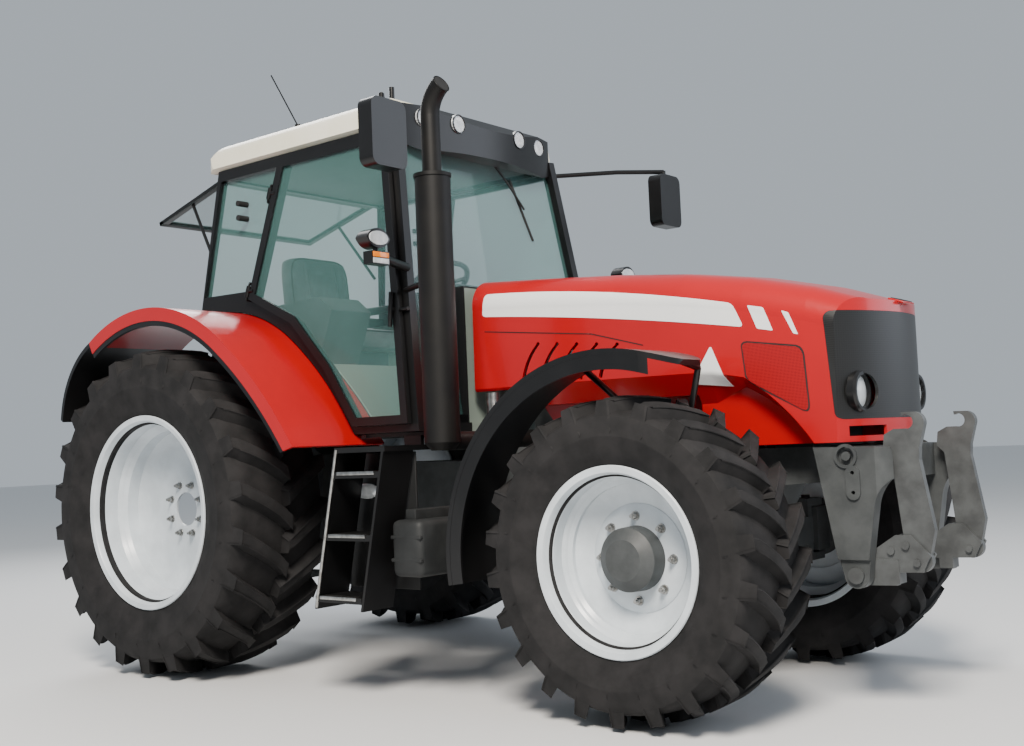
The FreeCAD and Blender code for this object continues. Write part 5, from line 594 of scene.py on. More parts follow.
def make_tyre(node, body, rim_radius, rim_half, bar_tall):
    """A casing and its bars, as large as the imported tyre."""
    low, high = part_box(node)
    outer = (high.z - low.z) / 2
    half = (high.y - low.y) / 2
    crown = outer - bar_tall
    drop = SHOULDER_DROP * outer
    profile = [(tyre_radius(share, crown, drop), share * half * TREAD_WIDTH) for share in TREAD_SHARES]
    shoulder = profile[-1][0]
    bulge = [(shoulder - deep * (shoulder - rim_radius), half * wide) for deep, wide in SIDE_WALL]
    bulge.append((
        shoulder - LOW_WALL_DEPTH * (shoulder - rim_radius),
        rim_half + 0.50 * (half * LOW_WALL_WIDTH - rim_half),
    ))
    bulge += [(rim_radius + past, rim_half + wide) for past, wide in BEAD]
    far_side = [(radius, -y) for radius, y in reversed(bulge)]
    bm = turn_profile(profile + bulge + far_side, CASING_STEPS, ABOUT_Y)
    for side in (-1, 1):
        bar_mesh = make_bar(side, outer, half, crown, drop, shoulder, rim_radius)
        shift = 0 if side > 0 else 0.5
        for number in range(BARS):
            before = set(bm.verts)
            bm.from_mesh(bar_mesh)
            added = [v for v in bm.verts if v not in before]
            turn = Matrix.Rotation(-math.tau * (number + shift) / BARS, 4, "Y")
            bmesh.ops.transform(bm, matrix=turn, verts=added)
        bpy.data.meshes.remove(bar_mesh)
    bmesh.ops.translate(bm, verts=bm.verts, vec=(low + high) / 2)
    piece = in_place(bm, f"{node}_rubber", tyre_rubber, body)
    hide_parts(node)


# Rim radius, rim half width and bar height
TYRES = {"rear": (0.486, 0.247, 0.058), "front": (0.358, 0.187, 0.046)}
for hand in SIDES:
    for axle, sizes in TYRES.items():
        make_tyre(f"{axle}_tyre_{hand}", f"{axle}_{hand}", *sizes)

# %% [markdown]
# The rims are rolled steel with a stepped well, and each wheel disc is pressed and welded inside. The
# section is drawn as radius and distance from the wheel's middle, outward positive, and spun.

# %% Wheels
WELL_DEPTH = 0.047
WALL = 0.011
RIM_STEPS, DISC_STEPS = 128, 96
NUTS = 8
# Radius, length and sides of a nut's washer, its hexagon and its stud
NUT_STACK = ((0.020, 0.006, 20), (0.014, 0.024, 6), (0.008, 0.036, 12))
NUT_TAPER = 0.94
DISC_FACE = 0.004


def make_wheel(
    kind, hand, side, flange_radius, bead_radius, half, disc_y, hole, nut_circle, centre_radius, turned
):
    """A rim with its disc and nuts; turned is how far the nuts are set round, in nuts."""
    node, body = f"{kind}_wheel_{hand}", f"{kind}_{hand}"
    low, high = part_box(node)
    tyre_low, tyre_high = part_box(f"{kind}_tyre_{hand}")
    centre = Vector(((low.x + high.x) / 2, (tyre_low.y + tyre_high.y) / 2, (low.z + high.z) / 2))
    well = bead_radius - WELL_DEPTH
    flank = [
        (flange_radius - 0.004, half),
        (flange_radius, half - 0.004),
        (flange_radius, half - 0.010),
        (flange_radius - 0.006, half - 0.014),
        (bead_radius + 0.004, half - 0.020),
        (bead_radius - 0.004, half - 0.034),
        (bead_radius - 0.010, half * 0.52),
        (well + 0.004, half * 0.38),
        (well, half * 0.32),
    ]
    inside = [
        (bead_radius - 0.006, -half + 0.004),
        (bead_radius - 0.014, -half + 0.020),
        (bead_radius - 0.018, -half * 0.56),
        (well - WALL, -half * 0.36),
        (well - WALL, half * 0.30),
        (bead_radius - 0.026, half * 0.46),
        (bead_radius - 0.026, half * 0.74),
        (bead_radius - 0.016, half * 0.80),
        (bead_radius - 0.014, half - 0.018),
        (bead_radius - 0.006, half - 0.004),
    ]
    outside = flank + [(radius, -y) for radius, y in reversed(flank)]
    bm = turn_profile(outside + inside, RIM_STEPS, ABOUT_Y)
    dish = [
        (well - WALL + 0.002, disc_y + 0.030),
        (well - WALL + 0.002, disc_y + 0.018),
        (well - 0.050, disc_y - 0.004),
        (well - 0.100, disc_y - 0.014),
        (centre_radius + 0.075, disc_y - 0.010),
        (centre_radius + 0.045, disc_y + DISC_FACE),
        (hole, disc_y + DISC_FACE),
        (hole, disc_y - 0.008),
        (centre_radius + 0.048, disc_y - 0.008),
        (centre_radius + 0.078, disc_y - 0.024),
        (well - 0.100, disc_y - 0.028),
        (well - 0.044, disc_y - 0.016),
        (well - WALL + 0.002, disc_y + 0.006),
    ]
    merge_in(bm, turn_profile(dish, DISC_STEPS, ABOUT_Y))
    if side < 0:
        bmesh.ops.scale(bm, vec=(1, -1, 1), verts=bm.verts)
    bmesh.ops.translate(bm, verts=bm.verts, vec=centre)
    piece = in_place(bm, f"{node}_pressing", wheel_enamel, body)
    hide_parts(node)

    nuts = bmesh.new()
    for number in range(NUTS):
        angle = math.tau * (number + turned) / NUTS
        spot = Vector((nut_circle * math.cos(angle), disc_y + DISC_FACE, nut_circle * math.sin(angle)))
        for radius, long, sides in NUT_STACK:
            made = bmesh.ops.create_cone(
                nuts, cap_ends=True, segments=sides, radius1=radius, radius2=radius * NUT_TAPER, depth=long
            )
            bmesh.ops.rotate(nuts, verts=made["verts"], matrix=Matrix.Rotation(-math.pi / 2, 3, "X"))
            bmesh.ops.translate(nuts, verts=made["verts"], vec=spot + Vector((0, long / 2, 0)))
    if side < 0:
        bmesh.ops.scale(nuts, vec=(1, -1, 1), verts=nuts.verts)
    bmesh.ops.translate(nuts, verts=nuts.verts, vec=centre)
    nut_piece = in_place(nuts, f"{node}_nuts", bright_steel, body, crease_deg=25)


# Flange and bead radius, rim half width, the disc's place outward, its hole, the nuts' circle, the
# radius of the raised centre and the nuts' turn
WHEELS = {
    "rear": (0.508, 0.486, 0.265, -0.005, 0.09, 0.1375, 0.105, 0.5),
    "front": (0.3805, 0.358, 0.205, 0.025, 0.13, 0.170, 0.145, 0),
}
for hand, side in SIDES.items():
    for kind, sizes in WHEELS.items():
        make_wheel(kind, hand, side, *sizes)

# %% [markdown]
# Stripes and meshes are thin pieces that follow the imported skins. A flat outline is drawn in side
# view, forward from the rear axle and up from the ground, and its corners are cast sideways onto the
# skin. The left side gets a mirror copy. Bars that bend are rings of corners along a smooth line.

# %% Helpers for thin pieces and bent bars
axle_low, axle_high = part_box("rear_tyre_right")
AXLE_X = (axle_low.x + axle_high.x) / 2
# Rows of corners up a sheet as shares of its height, closer near the edges
ROWS = (
    0, 0.02, 0.05, 0.09, 0.14, 0.2, 0.26, 0.32, 0.38, 0.44, 0.5,
    0.56, 0.62, 0.68, 0.74, 0.8, 0.86, 0.91, 0.95, 0.98, 1,
)


def from_axle(x, y, z):
    """A place given forward from the rear axle."""
    return Vector((AXLE_X + x, y, z))


def skin_of(*names):
    """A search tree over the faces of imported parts."""
    corners, faces = [], []
    for name in names:
        mesh = frame["nodes"][name].data
        first = len(corners)
        corners += [tuple(vert.co) for vert in mesh.vertices]
        faces += [[first + index for index in face.vertices] for face in mesh.polygons]
    return BVHTree.FromPolygons(corners, faces)


def sheet(bm, corners, columns, rounding=0.0, rises=(0.0, 0.0)):
    """Adds a flat sheet between its top rear, top front, low rear and low front corners."""
    top_rear, top_front, low_rear, low_front = [Vector(corner) for corner in corners]
    tall = ((top_rear - low_rear).length + (top_front - low_front).length) / 2
    long = ((top_front - top_rear).length + (low_front - low_rear).length) / 2
    rows = []
    for share in ROWS:
        near = min(share, 1 - share) * tall
        inset = 0.0
        if near < rounding:
            inset = (rounding - math.sqrt(rounding ** 2 - (rounding - near) ** 2)) / long
        row = []
        for step in range(columns + 1):
            along = inset + (1 - 2 * inset) * step / columns
            arch = 4 * along * (1 - along)
            top = top_rear.lerp(top_front, along) + Vector((0, rises[0] * arch))
            low = low_rear.lerp(low_front, along) + Vector((0, rises[1] * arch))
            spot = low.lerp(top, share)
            row.append(bm.verts.new(from_axle(spot.x, 0, spot.y)))
        rows.append(row)
    for below, above in zip(rows, rows[1:]):
        for step in range(columns):
            bm.faces.new((below[step], below[step + 1], above[step + 1], above[step]))


def lay_on(bm, skin, lift, thick):
    """Casts a flat sheet sideways onto a skin, drops what misses it and gives the sheet its thickness."""
    missed = []
    for vert in bm.verts:
        spot, normal, _, _ = skin.ray_cast(Vector((vert.co.x, -2, vert.co.z)), Vector((0, 1, 0)))
        if spot is None:
            missed.append(vert)
            continue
        vert.co = spot + normal * math.copysign(lift, -normal.y)
    bmesh.ops.delete(bm, geom=missed, context="VERTS")
    bmesh.ops.recalc_face_normals(bm, faces=bm.faces)
    bmesh.ops.solidify(bm, geom=bm.faces[:], thickness=thick)


def smooth_line(points, steps=8):
    """A smooth line through the points, with steps pieces between each two."""
    padded = [points[0] * 2 - points[1]] + points + [points[-1] * 2 - points[-2]]
    line = []
    for a, b, c, d in zip(padded, padded[1:], padded[2:], padded[3:]):
        for step in range(steps):
            t = step / steps
            bend = 2 * a - 5 * b + 4 * c - d
            twist = 3 * b - a - 3 * c + d
            line.append(0.5 * (2 * b + (c - a) * t + bend * t ** 2 + twist * t ** 3))
    return line + [points[-1]]


def bent_bar(bm, line, radius, sides=12, closed=False):
    """Adds a round bar along a line; a closed one joins its ends."""
    line = [Vector(point) for point in line]
    rings = []
    across = None
    for index, point in enumerate(line):
        if closed:
            ahead_of = line[(index + 1) % len(line)] - line[index - 1]
        else:
            ahead_of = line[min(index + 1, len(line) - 1)] - line[max(index - 1, 0)]
        tangent = ahead_of.normalized()
        across = tangent.orthogonal() if across is None else across - tangent * across.dot(tangent)
        across.normalize()
        other = tangent.cross(across)
        rings.append([
            bm.verts.new(
                point
                + across * radius * math.cos(math.tau * side / sides)
                + other * radius * math.sin(math.tau * side / sides)
            )
            for side in range(sides)
        ])
    pairs = list(zip(rings, rings[1:]))
    if closed:
        pairs.append((rings[-1], rings[0]))
    for first, second in pairs:
        for side in range(sides):
            bm.faces.new((first[side], first[side - 1], second[side - 1], second[side]))
    if not closed:
        bm.faces.new(rings[0])
        bm.faces.new(rings[-1][::-1])


def ellipse(bm, centre, half_y, half_z, depth, sides=40):
    """Adds an upright oval plate whose rear face stands at the centre and which is depth thick."""
    made = bmesh.ops.create_cone(bm, cap_ends=True, segments=sides, radius1=1, radius2=0.94, depth=1)
    bmesh.ops.rotate(bm, matrix=Matrix.Rotation(math.pi / 2, 3, "Y"), verts=made["verts"])
    bmesh.ops.scale(bm, vec=(depth, half_y, half_z), verts=made["verts"])
    bmesh.ops.translate(bm, vec=Vector(centre) + Vector((depth / 2, 0, 0)), verts=made["verts"])

# %% [markdown]
# The bonnet's side carries one broad white stripe with slanted slashes ahead of it, a dark strip of
# painted shade along a swage line under it and a punched red panel near the nose.

# %% Bonnet stripes and side panels
STRIPES = (
    ((1.715, 1.873), (3.074, 1.686), (1.702, 1.763), (3.124, 1.580), 90, 0.020, (0.030, 0.015)),
    ((3.144, 1.670), (3.216, 1.654), (3.184, 1.568), (3.256, 1.553), 10, 0.006, (0.0, 0.0)),
    ((3.296, 1.633), (3.327, 1.622), (3.344, 1.534), (3.365, 1.528), 8, 0.004, (0.0, 0.0)),
)
bonnet_skin = skin_of("bonnet")
stripes = bmesh.new()
for *corners, columns, rounding, rises in STRIPES:
    sheet(stripes, corners, columns, rounding, rises)
lay_on(stripes, bonnet_skin, 0.0016, 0.0010)
mirror_across(stripes)
in_place(stripes, "bonnet_stripes", stripe_film, "hood")

PANEL = ((3.111, 1.518), (3.379, 1.475), (3.129, 1.358), (3.397, 1.207))
panel = bmesh.new()
sheet(panel, PANEL, 24, 0.030)
lay_on(panel, bonnet_skin, 0.0024, 0.0010)
mirror_across(panel)
in_place(panel, "bonnet_side_mesh", side_mesh, "hood")

# A thin dark strip along the swage line is painted shade of its groove, in the black rubber finish.
SWAGE_LINE = ((1.714, 1.689), (2.350, 1.621), (2.627, 1.546))
SWAGE_SHADE_HALF = 0.0025
swage_shade_strips = bmesh.new()
for start, end in zip(SWAGE_LINE, SWAGE_LINE[1:]):
    corners = [(x, z + rise) for rise in (SWAGE_SHADE_HALF, -SWAGE_SHADE_HALF) for x, z in (start, end)]
    sheet(swage_shade_strips, corners, 24)
lay_on(swage_shade_strips, bonnet_skin, 0.0012, 0.0008)
mirror_across(swage_shade_strips)
in_place(swage_shade_strips, "bonnet_swage_painted_shade", black_rubber, "hood")

# %% [markdown]
# The headlamps are chromed bowls behind clear glass in black rings. The work lamps in the roof have fluted
# lenses in black bezels, and the oval side lamps stand over small turn lamps.

# %% Lamps
head_low, head_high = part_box("headlamps")
lamp_z = (head_low.z + head_high.z) / 2
lamp_y = head_high.y - (head_high.z - head_low.z) / 2
# Profiles of (x, radius) corners, forward from the lamp's front
RING = [(-0.022, 0.0655), (0.014, 0.0655), (0.014, 0.078), (0.004, 0.086), (-0.022, 0.086)]
BOWL = [
    (-0.052, 0.0), (-0.048, 0.030), (-0.034, 0.050), (-0.012, 0.062),
    (-0.009, 0.0625), (-0.031, 0.0525), (-0.045, 0.032), (-0.049, 0.0),
]
GLASS = [(-0.006, 0.0), (-0.006, 0.063), (-0.003, 0.064), (0.005, 0.040), (0.008, 0.0)]
BEZEL = [(-0.001, 0.0425), (0.006, 0.0445), (0.006, 0.0498), (-0.001, 0.0498)]
LAMP_STEPS, BEZEL_STEPS = 56, 48
rings, bowls, glasses = bmesh.new(), bmesh.new(), bmesh.new()
for side in SIDES.values():
    for target, profile in ((rings, RING), (bowls, BOWL), (glasses, GLASS)):
        merge_in(target, turn_profile(profile, LAMP_STEPS, ABOUT_X, (head_high.x, side * lamp_y, lamp_z)))
in_place(rings, "headlamp_rings", gloss_polymer, "hood")
in_place(bowls, "headlamp_bowls", chrome, "hood")
in_place(glasses, "headlamp_glasses", lamp_glass, "hood")

ROOF_LAMPS = ((-0.475, 0.022), (-0.250, 0.062), (0.250, 0.062), (0.475, 0.022))
roof_lamp_low, roof_lamp_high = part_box("roof_lamps")
roof_lamp_z = (roof_lamp_low.z + roof_lamp_high.z) / 2
bezels = bmesh.new()
for y, x in ROOF_LAMPS:
    merge_in(bezels, turn_profile(BEZEL, BEZEL_STEPS, ABOUT_X, (x, y, roof_lamp_z)))
in_place(bezels, "roof_lamp_bezels", gloss_polymer, "chassis")

_, side_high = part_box("side_lamps")
SIDE_LAMP_Y, SIDE_LAMP_Z = 1.03, 2.104
SIDE_LENS = (0.062, 0.034, 0.006)
TURN_LAMP_Y, TURN_LAMP_HALF = 1.025, 0.050
lenses, ambers, whites = bmesh.new(), bmesh.new(), bmesh.new()
for side in SIDES.values():
    ellipse(lenses, (side_high.x - 0.001 - 0.0055, side * SIDE_LAMP_Y, SIDE_LAMP_Z), *SIDE_LENS)
    for target, low_z, high_z in ((ambers, 2.014, 2.038), (whites, 1.986, 2.010)):
        low = (side_high.x - 0.001, side * TURN_LAMP_Y - TURN_LAMP_HALF, low_z)
        high = (side_high.x + 0.004, side * TURN_LAMP_Y + TURN_LAMP_HALF, high_z)
        block(target, low, high, 0.0015)
in_place(lenses, "side_lamp_lenses", fluted_lens, "chassis")
in_place(ambers, "turn_lamp_lenses", amber_lens, "chassis")
in_place(whites, "position_lamp_lenses", fluted_lens, "chassis")

# %% [markdown]
# The exhaust ends in a cut-off mouth that looks forward and up. A bright heat shield stands at its foot,
# where the pipe comes out of the engine bay.

# %% Exhaust mouth and heat shield
MOUTH = from_axle(1.9395, -0.92, 2.774)
MOUTH_LEAN = math.radians(60)
MOUTH_AXIS = Vector((math.sin(MOUTH_LEAN), 0, math.cos(MOUTH_LEAN)))
mouth_up = Vector((0, 1, 0)).cross(MOUTH_AXIS)
MOUTH_R, MOUTH_STEPS = 0.0425, 48
RIM_R, SOOT_AND_SHADE_R = 0.0032, 0.0405
rim = bmesh.new()
mouth_line = []
for step in range(MOUTH_STEPS):
    angle = math.tau * step / MOUTH_STEPS
    mouth_line.append(MOUTH + (Vector((0, 1, 0)) * math.cos(angle) + mouth_up * math.sin(angle)) * MOUTH_R)
bent_bar(rim, mouth_line, RIM_R, closed=True)
in_place(rim, "exhaust_mouth_rim", exhaust_paint, "chassis")
# A dark disc just inside the rim closes the pipe: soot and painted shade of its hollow.
mouth_soot_and_shade = bmesh.new()
bar(mouth_soot_and_shade, MOUTH - MOUTH_AXIS * 0.002, MOUTH + MOUTH_AXIS * 0.0008, SOOT_AND_SHADE_R, 40)
in_place(mouth_soot_and_shade, "exhaust_mouth_dark", black_rubber, "chassis")
SHIELD_X, SHIELD_Y = 1.790, -0.470
shield = bmesh.new()
for low_z, high_z, radius in ((1.160, 1.385, 0.034), (1.335, 1.350, 0.037)):
    bar(shield, from_axle(SHIELD_X, SHIELD_Y, low_z), from_axle(SHIELD_X, SHIELD_Y, high_z), radius, 40)
in_place(shield, "exhaust_heat_shield", bright_steel, "chassis")

# %% [markdown]
# The boarding steps have bright non-slip edges along the outside of each tread.

# %% Step edges
LOW_TREAD = from_axle(1.430, -1.190, 0.480)
TREAD_RAKE, TREAD_RISE, TREAD_HALF = 0.070, 0.280, 0.118
edges = bmesh.new()
for level in range(3):
    spot = LOW_TREAD + Vector((TREAD_RAKE, 0, TREAD_RISE)) * level
    block(edges, spot - Vector((TREAD_HALF, 0, 0.014)), spot + Vector((TREAD_HALF, 0.040, 0.0015)), 0.001)
mirror_across(edges)
in_place(edges, "step_edges", bright_steel, "chassis")

# %% [markdown]
# Mirrors have glass on the side that faces the driver, the top rear window stands open in a black frame,
# and the windscreen has a wiper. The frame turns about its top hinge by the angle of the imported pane.

# %% Mirror glass, rear window frame and wiper
MIRROR_Y, MIRROR_Z, MIRROR_REAR = 1.170, 2.524, AXLE_X + 1.763
MIRROR_HALF = 0.092
mirror_plates = bmesh.new()
for side in SIDES.values():
    for low_z, high_z in ((-0.062, 0.136), (-0.136, -0.074)):
        block(
            mirror_plates,
            (MIRROR_REAR - 0.0025, side * MIRROR_Y - MIRROR_HALF, MIRROR_Z + low_z),
            (MIRROR_REAR + 0.0015, side * MIRROR_Y + MIRROR_HALF, MIRROR_Z + high_z),
            0.001,
        )
in_place(mirror_plates, "mirror_plates", mirror_glass, "chassis")

WINDOW_HINGE = Vector((-1.4345, 0, 2.722))
WINDOW_TURN = Matrix.Rotation(math.radians(75), 4, "Y")
WINDOW_HALF, WINDOW_TALL, WINDOW_RAIL = 0.601, 0.651, 0.041
WINDOW_TOP, WINDOW_THICK = 0.001, 0.0125
window_frame = bmesh.new()
for low, high in (
    ((-WINDOW_HALF, -WINDOW_RAIL), (WINDOW_HALF, WINDOW_TOP)),
    ((-WINDOW_HALF, -WINDOW_TALL), (WINDOW_HALF, -WINDOW_TALL + WINDOW_RAIL)),
    ((-WINDOW_HALF, -WINDOW_TALL), (-WINDOW_HALF + WINDOW_RAIL, WINDOW_TOP)),
    ((WINDOW_HALF - WINDOW_RAIL, -WINDOW_TALL), (WINDOW_HALF, WINDOW_TOP)),
):
    block(window_frame, (-WINDOW_THICK, *low), (WINDOW_THICK, *high), 0.004)
window_place = Matrix.Translation(WINDOW_HINGE) @ WINDOW_TURN
bmesh.ops.transform(window_frame, matrix=window_place, verts=window_frame.verts)
for side in SIDES.values():
    start = WINDOW_HINGE + WINDOW_TURN @ Vector((0, side * 0.581, -0.330)) + Vector((0, 0, -0.010))
    bar(window_frame, start, (-1.4905, side * 0.640, 2.250), 0.0095)
in_place(window_frame, "rear_window_frame", powder_coat, "chassis")

screen_skin = skin_of("cab_glass")
wiper = bmesh.new()
WIPER_ARM = ((0.10, 2.655), (0.20, 2.560), (0.31, 2.430))
WIPER_BLADE = ((0.245, 2.600), (0.310, 2.430), (0.375, 2.260))
for points, radius, lift in ((WIPER_ARM, 0.006, 0.030), (WIPER_BLADE, 0.007, 0.008)):
    line = []
    for y, z in points:
        spot, _, _, _ = screen_skin.ray_cast(Vector((2, y, z)), Vector((-1, 0, 0)))
        if spot is not None:
            line.append(spot + Vector((lift, 0, 0)))
    if len(line) > 1:
        bent_bar(wiper, smooth_line(line), radius)
in_place(wiper, "windscreen_wiper", black_rubber, "chassis")

# %% [markdown]
# Under the roof lies a dark lining board.

# %% Roof lining
LINING_LOW, LINING_HIGH = (-1.385, -0.60, 2.706), (-0.040, 0.60, 2.749)
lining = bmesh.new()
block(lining, LINING_LOW, LINING_HIGH, 0.012)
in_place(lining, "roof_lining", console_plastic, "chassis")

# %% [markdown]
# The seat is foam under woven cloth. Each pad is a cube cut into a fine grid, with its top crowned, its
# corners drawn in and two sewn channels pressed into it, and a piped seam runs round its top edge.

# %% Seat
PAD_CUTS = 36
CORNER_PULL = 0.07
BELLY = 0.050
EDGE_DROP = 0.22
CHANNEL_PLACE, CHANNEL_HALF = 0.52, 0.04
PIPING_R, PIPING_STEPS = 0.0045, 96
PIPING_INSET, PIPING_HEIGHT = 0.966, 0.40
# Lower powers make the piping's outline squarer
PIPING_POWER = 0.22


def pad_outline(u, v, long, wide):
    """A point of a pad's outline, its corners drawn in, from -1 to 1 each way."""
    return u * (1 - CORNER_PULL * v ** 6) * long / 2, v * (1 - CORNER_PULL * u ** 6) * wide / 2


def seat_pad(name, long, wide, thick, crown, channel, turn):
    """A crowned pad and its piping. The pad lies along X before it's turned into place."""
    bm = bmesh.new()
    bmesh.ops.create_cube(bm, size=1.0)
    bmesh.ops.subdivide_edges(bm, edges=bm.edges[:], cuts=PAD_CUTS, use_grid_fill=True)
    for vert in bm.verts:
        u, v, w = vert.co * 2
        belly = 1 - BELLY + BELLY * math.sqrt(max(0.0, 1 - w * w))
        x, y = pad_outline(u, v, long, wide)
        z = w * thick / 2 * (1 - EDGE_DROP * max(abs(u), abs(v)) ** 8)
        if w > 0:
            z += w * crown * (1 - u * u) * (1 - v ** 4)
            z -= w * channel * math.exp(-(((abs(v) - CHANNEL_PLACE) / CHANNEL_HALF) ** 2)) * (1 - u ** 8)
        vert.co = (x * belly, y * belly, z)
    bmesh.ops.transform(bm, matrix=turn, verts=bm.verts)
    pad = in_place(bm, name, seat_cloth, "chassis", crease_deg=60)

    piping = bmesh.new()
    line = []
    for step in range(PIPING_STEPS):
        angle = math.tau * step / PIPING_STEPS
        u, v = [math.copysign(abs(w) ** PIPING_POWER, w) for w in (math.cos(angle), math.sin(angle))]
        x, y = pad_outline(u, v, long, wide)
        line.append(turn @ Vector((PIPING_INSET * x, PIPING_INSET * y, PIPING_HEIGHT * thick)))
    bent_bar(piping, line, PIPING_R, sides=8, closed=True)
    in_place(piping, f"{name}_piping", black_rubber, "chassis")
    return pad


# Length, width, thickness, crown and depth of the channels
CUSHION = (0.49, 0.50, 0.125, 0.018, 0.010)
BACKREST = (0.54, 0.46, 0.115, 0.022, 0.010)
upward = Vector((-0.096, 0, 0.9954)).normalized()
forward = Vector((upward.z, 0, -upward.x))
sideways = forward.cross(upward)
back_turn = axes_at(upward, sideways, forward, from_axle(0.045, 0, 2.030))
cushion_turn = Matrix.Translation(from_axle(0.345, 0, 1.765))
cushion = seat_pad("seat_cushion", *CUSHION, cushion_turn)
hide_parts("seat")
seat_pad("seat_backrest", *BACKREST, back_turn)
seat_base = bmesh.new()
block(seat_base, from_axle(0.180, -0.16, 1.6), from_axle(0.480, 0.16, 1.715), 0.012)
ARM_HALF = 0.030
for side in SIDES.values():
    for rear, front, y, low_z, high_z, rounding in (
        (0.060, 0.380, side * 0.285, 1.960, 2.005, 0.015),
        (0.045, 0.100, side * 0.260, 1.930, 1.990, 0.010),
    ):
        low = from_axle(rear, y - ARM_HALF, low_z)
        block(seat_base, low, from_axle(front, y + ARM_HALF, high_z), rounding)
in_place(seat_base, "seat_base_and_armrests", console_plastic, "chassis")

# %% [markdown]
# Small fittings: the side box with its rounded edges, an oval lamp by the steps, bright strips along the
# steps, a blank block on the nose and knobs on the corner glass.

# %% Side box, strips, nose block and knobs
chest_low, chest_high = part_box("toolbox")
CARRIER = 0.044
chest = bmesh.new()
block(chest, chest_low, (chest_high.x, chest_high.y, chest_high.z - CARRIER), 0.030)
carrier_low = (chest_low.x + 0.040, chest_low.y + 0.060, chest_high.z - CARRIER - 0.010)
block(chest, carrier_low, (chest_low.x + 0.100, chest_high.y, chest_high.z), 0.004)
RIB_HALF = 0.008
for share in (0.30, 0.70):
    z = chest_low.z + share * (chest_high.z - CARRIER - chest_low.z)
    rib_low = (chest_low.x, chest_low.y - 0.0005, z - RIB_HALF)
    block(chest, rib_low, (chest_high.x, chest_low.y + 0.02, z + RIB_HALF), 0.004)
chest_piece = in_place(chest, "side_box", grey_polymer, "chassis")
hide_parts("toolbox")

STRIP_Y, STRIP_R = 1.184, 0.008
strips = bmesh.new()
for y in (-STRIP_Y, STRIP_Y):
    bar(strips, from_axle(1.283, y, 0.428), from_axle(1.449, y, 1.142), STRIP_R)
in_place(strips, "step_strips", bright_steel, "chassis")
back_panel = bmesh.new()
block(back_panel, from_axle(1.300, -0.975, 0.500), from_axle(1.740, -0.965, 1.120), 0.003)
in_place(back_panel, "step_back_panel", rough_polymer, "chassis")
STEP_LAMP_HALVES = (0.085, 0.014, 0.036)
step_lamp = bmesh.new()
made = bmesh.ops.create_uvsphere(step_lamp, u_segments=40, v_segments=20, radius=1)
bmesh.ops.scale(step_lamp, vec=STEP_LAMP_HALVES, verts=made["verts"])
bmesh.ops.translate(step_lamp, vec=from_axle(1.430, -0.982, 0.945), verts=made["verts"])
in_place(step_lamp, "step_lamp", fluted_lens, "chassis")

nose_skin = skin_of("bonnet", "nose_grille")
spot, normal, _, _ = nose_skin.ray_cast(Vector((4, 0, 1.660)), Vector((-1, 0, 0)))
if spot is not None:
    nose_place = Matrix.Translation(spot) @ Matrix.Rotation(-math.atan2(normal.z, normal.x), 4, "Y")
    badge, badge_frame = bmesh.new(), bmesh.new()
    block(badge_frame, (-0.004, -0.062, -0.034), (0.005, 0.062, 0.034), 0.003)
    block(badge, (-0.004, -0.054, -0.027), (0.008, 0.054, 0.027), 0.003)
    for bm, name, material, slot_name in (
        (badge, "nose_block", rough_polymer, "trim_black"),
        (badge_frame, "nose_block_frame", red_enamel, "red_paint"),
    ):
        bmesh.ops.transform(bm, matrix=nose_place, verts=bm.verts)
        in_place(bm, name, material, "hood")

KNOB_X, KNOB_R = 0.240, 0.016
quarter_knobs = bmesh.new()
for z in (2.440, 2.520):
    bar(quarter_knobs, from_axle(KNOB_X, -0.735, z), from_axle(KNOB_X, -0.668, z), KNOB_R, 24)
mirror_across(quarter_knobs)
in_place(quarter_knobs, "corner_glass_knobs", black_rubber, "chassis")

# %% [markdown]
# The bonnet's side panel has a dark joint round it, and a blank white warning triangle sits behind it.
# Black sheets close the windscreen's lower corners beside the cowl.

# %% Panel joint, triangle and corner sheets
joint = bmesh.new()
JOINT_WIDTH = 0.007
middle_x = sum(corner[0] for corner in PANEL) / 4
middle_z = sum(corner[1] for corner in PANEL) / 4
grown = [
    (x + math.copysign(JOINT_WIDTH, x - middle_x), z + math.copysign(JOINT_WIDTH, z - middle_z))
    for x, z in PANEL
]
sheet(joint, grown, 24, 0.034)
lay_on(joint, bonnet_skin, 0.0010, 0.0006)
mirror_across(joint)
in_place(joint, "bonnet_panel_joint", black_rubber, "hood")

triangle = bmesh.new()
sheet(triangle, ((2.960, 1.509), (2.968, 1.509), (2.861, 1.359), (3.039, 1.339)), 16)
lay_on(triangle, bonnet_skin, 0.0030, 0.0008)
in_place(triangle, "blank_warning_triangle", stripe_film, "hood")

corner_sheets = bmesh.new()
block(corner_sheets, (0.146, -0.660, 1.262), (0.150, -0.428, 1.900))
for vert in corner_sheets.verts:
    vert.co.x -= (vert.co.z - 1.250) * SCREEN_SLOPE
mirror_across(corner_sheets)
in_place(corner_sheets, "windscreen_corner_sheets", powder_coat, "chassis")

# %% [markdown]
# Behind, each fender carries a lamp block with a red and an amber lens. It sits where a line from behind
# meets the fender.

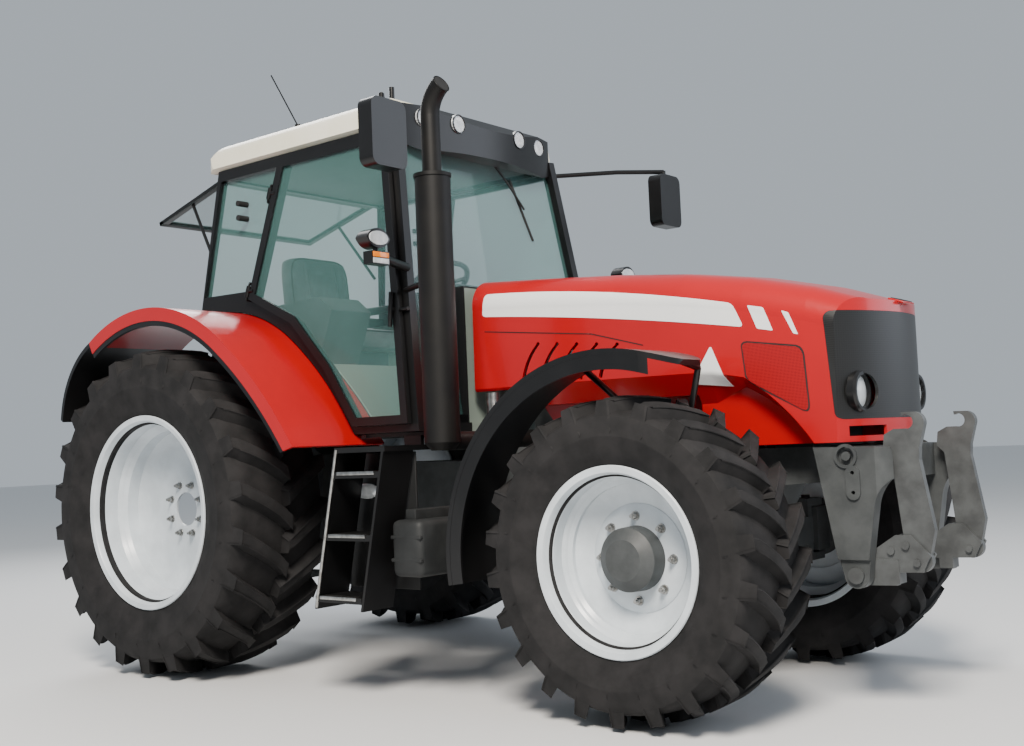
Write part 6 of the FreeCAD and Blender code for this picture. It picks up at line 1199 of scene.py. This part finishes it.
# %% Tail lamps
fender_skin = skin_of("fender_edges", "rear_fenders")
tail_backs, tail_reds, tail_ambers = bmesh.new(), bmesh.new(), bmesh.new()
for side in SIDES.values():
    spot, normal, _, _ = fender_skin.ray_cast(Vector((-4, side * 1.02, 1.560)), Vector((1, 0, 0)))
    if spot is None:
        continue
    slope = math.atan2(normal.z, -normal.x)
    turn = Matrix.Translation(spot) @ Matrix.Rotation(slope, 4, "Y")
    for bm, low, high, rounding in (
        (tail_backs, (-0.034, -0.130, -0.050), (0.010, 0.130, 0.050), 0.010),
        (tail_reds, (-0.044, -0.120, -0.042), (-0.030, -0.004, 0.042), 0.005),
        (tail_ambers, (-0.044, 0.004, -0.042), (-0.030, 0.120, 0.042), 0.005),
    ):
        first = len(bm.verts)
        block(bm, low, high, rounding)
        bm.verts.ensure_lookup_table()
        bmesh.ops.transform(bm, matrix=turn, verts=bm.verts[first:])
in_place(tail_backs, "tail_lamp_backs", rough_polymer, "chassis")
in_place(tail_reds, "tail_lamp_reds", red_lens, "chassis")
in_place(tail_ambers, "tail_lamp_ambers", amber_lens, "chassis")

# %% [markdown]
# The studio: a plain pale floor that runs off to the horizon, a soft key light from the right front, a
# wide fill from the other side and an even sky.

# %% Floor and light
FLOOR_HALF = 60
SKY_STRENGTH = 0.62
floor_mesh = bmesh.new()
bmesh.ops.create_grid(floor_mesh, x_segments=1, y_segments=1, size=FLOOR_HALF)
floor_data = bpy.data.meshes.new("floor")
floor_mesh.to_mesh(floor_data)
floor_mesh.free()
floor = in_scene("floor", floor_data)
floor_data.materials.append(finish_named("pale_studio_floor", "#D6D7D8", 0.75)[0])


def soft_light(name, place, aim, size, power, colour="#FFFFFF"):
    """A large square lamp that faces a point."""
    data = bpy.data.lights.new(name, "AREA")
    data.shape = "SQUARE"
    data.size = size
    data.energy = power
    data.color = linear(colour)[:3]
    lamp = in_scene(name, data)
    toward = Vector(aim) - Vector(place)
    lamp.matrix_world = Matrix.Translation(place) @ toward.to_track_quat("-Z", "Y").to_matrix().to_4x4()


soft_light("key", (5.0, -7.0, 8.5), (0, 0, 1.2), 3.0, 2500, "#FFF6EA")
soft_light("fill", (7.5, 5.0, 4.5), (0, 0, 1.0), 6.0, 300, "#EAF2FF")
soft_light("back", (-7.0, 3.0, 7.0), (0, 0, 1.5), 5.0, 500)

world = bpy.data.worlds.new("studio")
bpy.context.scene.world = world
world.use_nodes = True
world.node_tree.nodes["Background"].inputs["Color"].default_value = linear("#DCE6EF")
world.node_tree.nodes["Background"].inputs["Strength"].default_value = SKY_STRENGTH
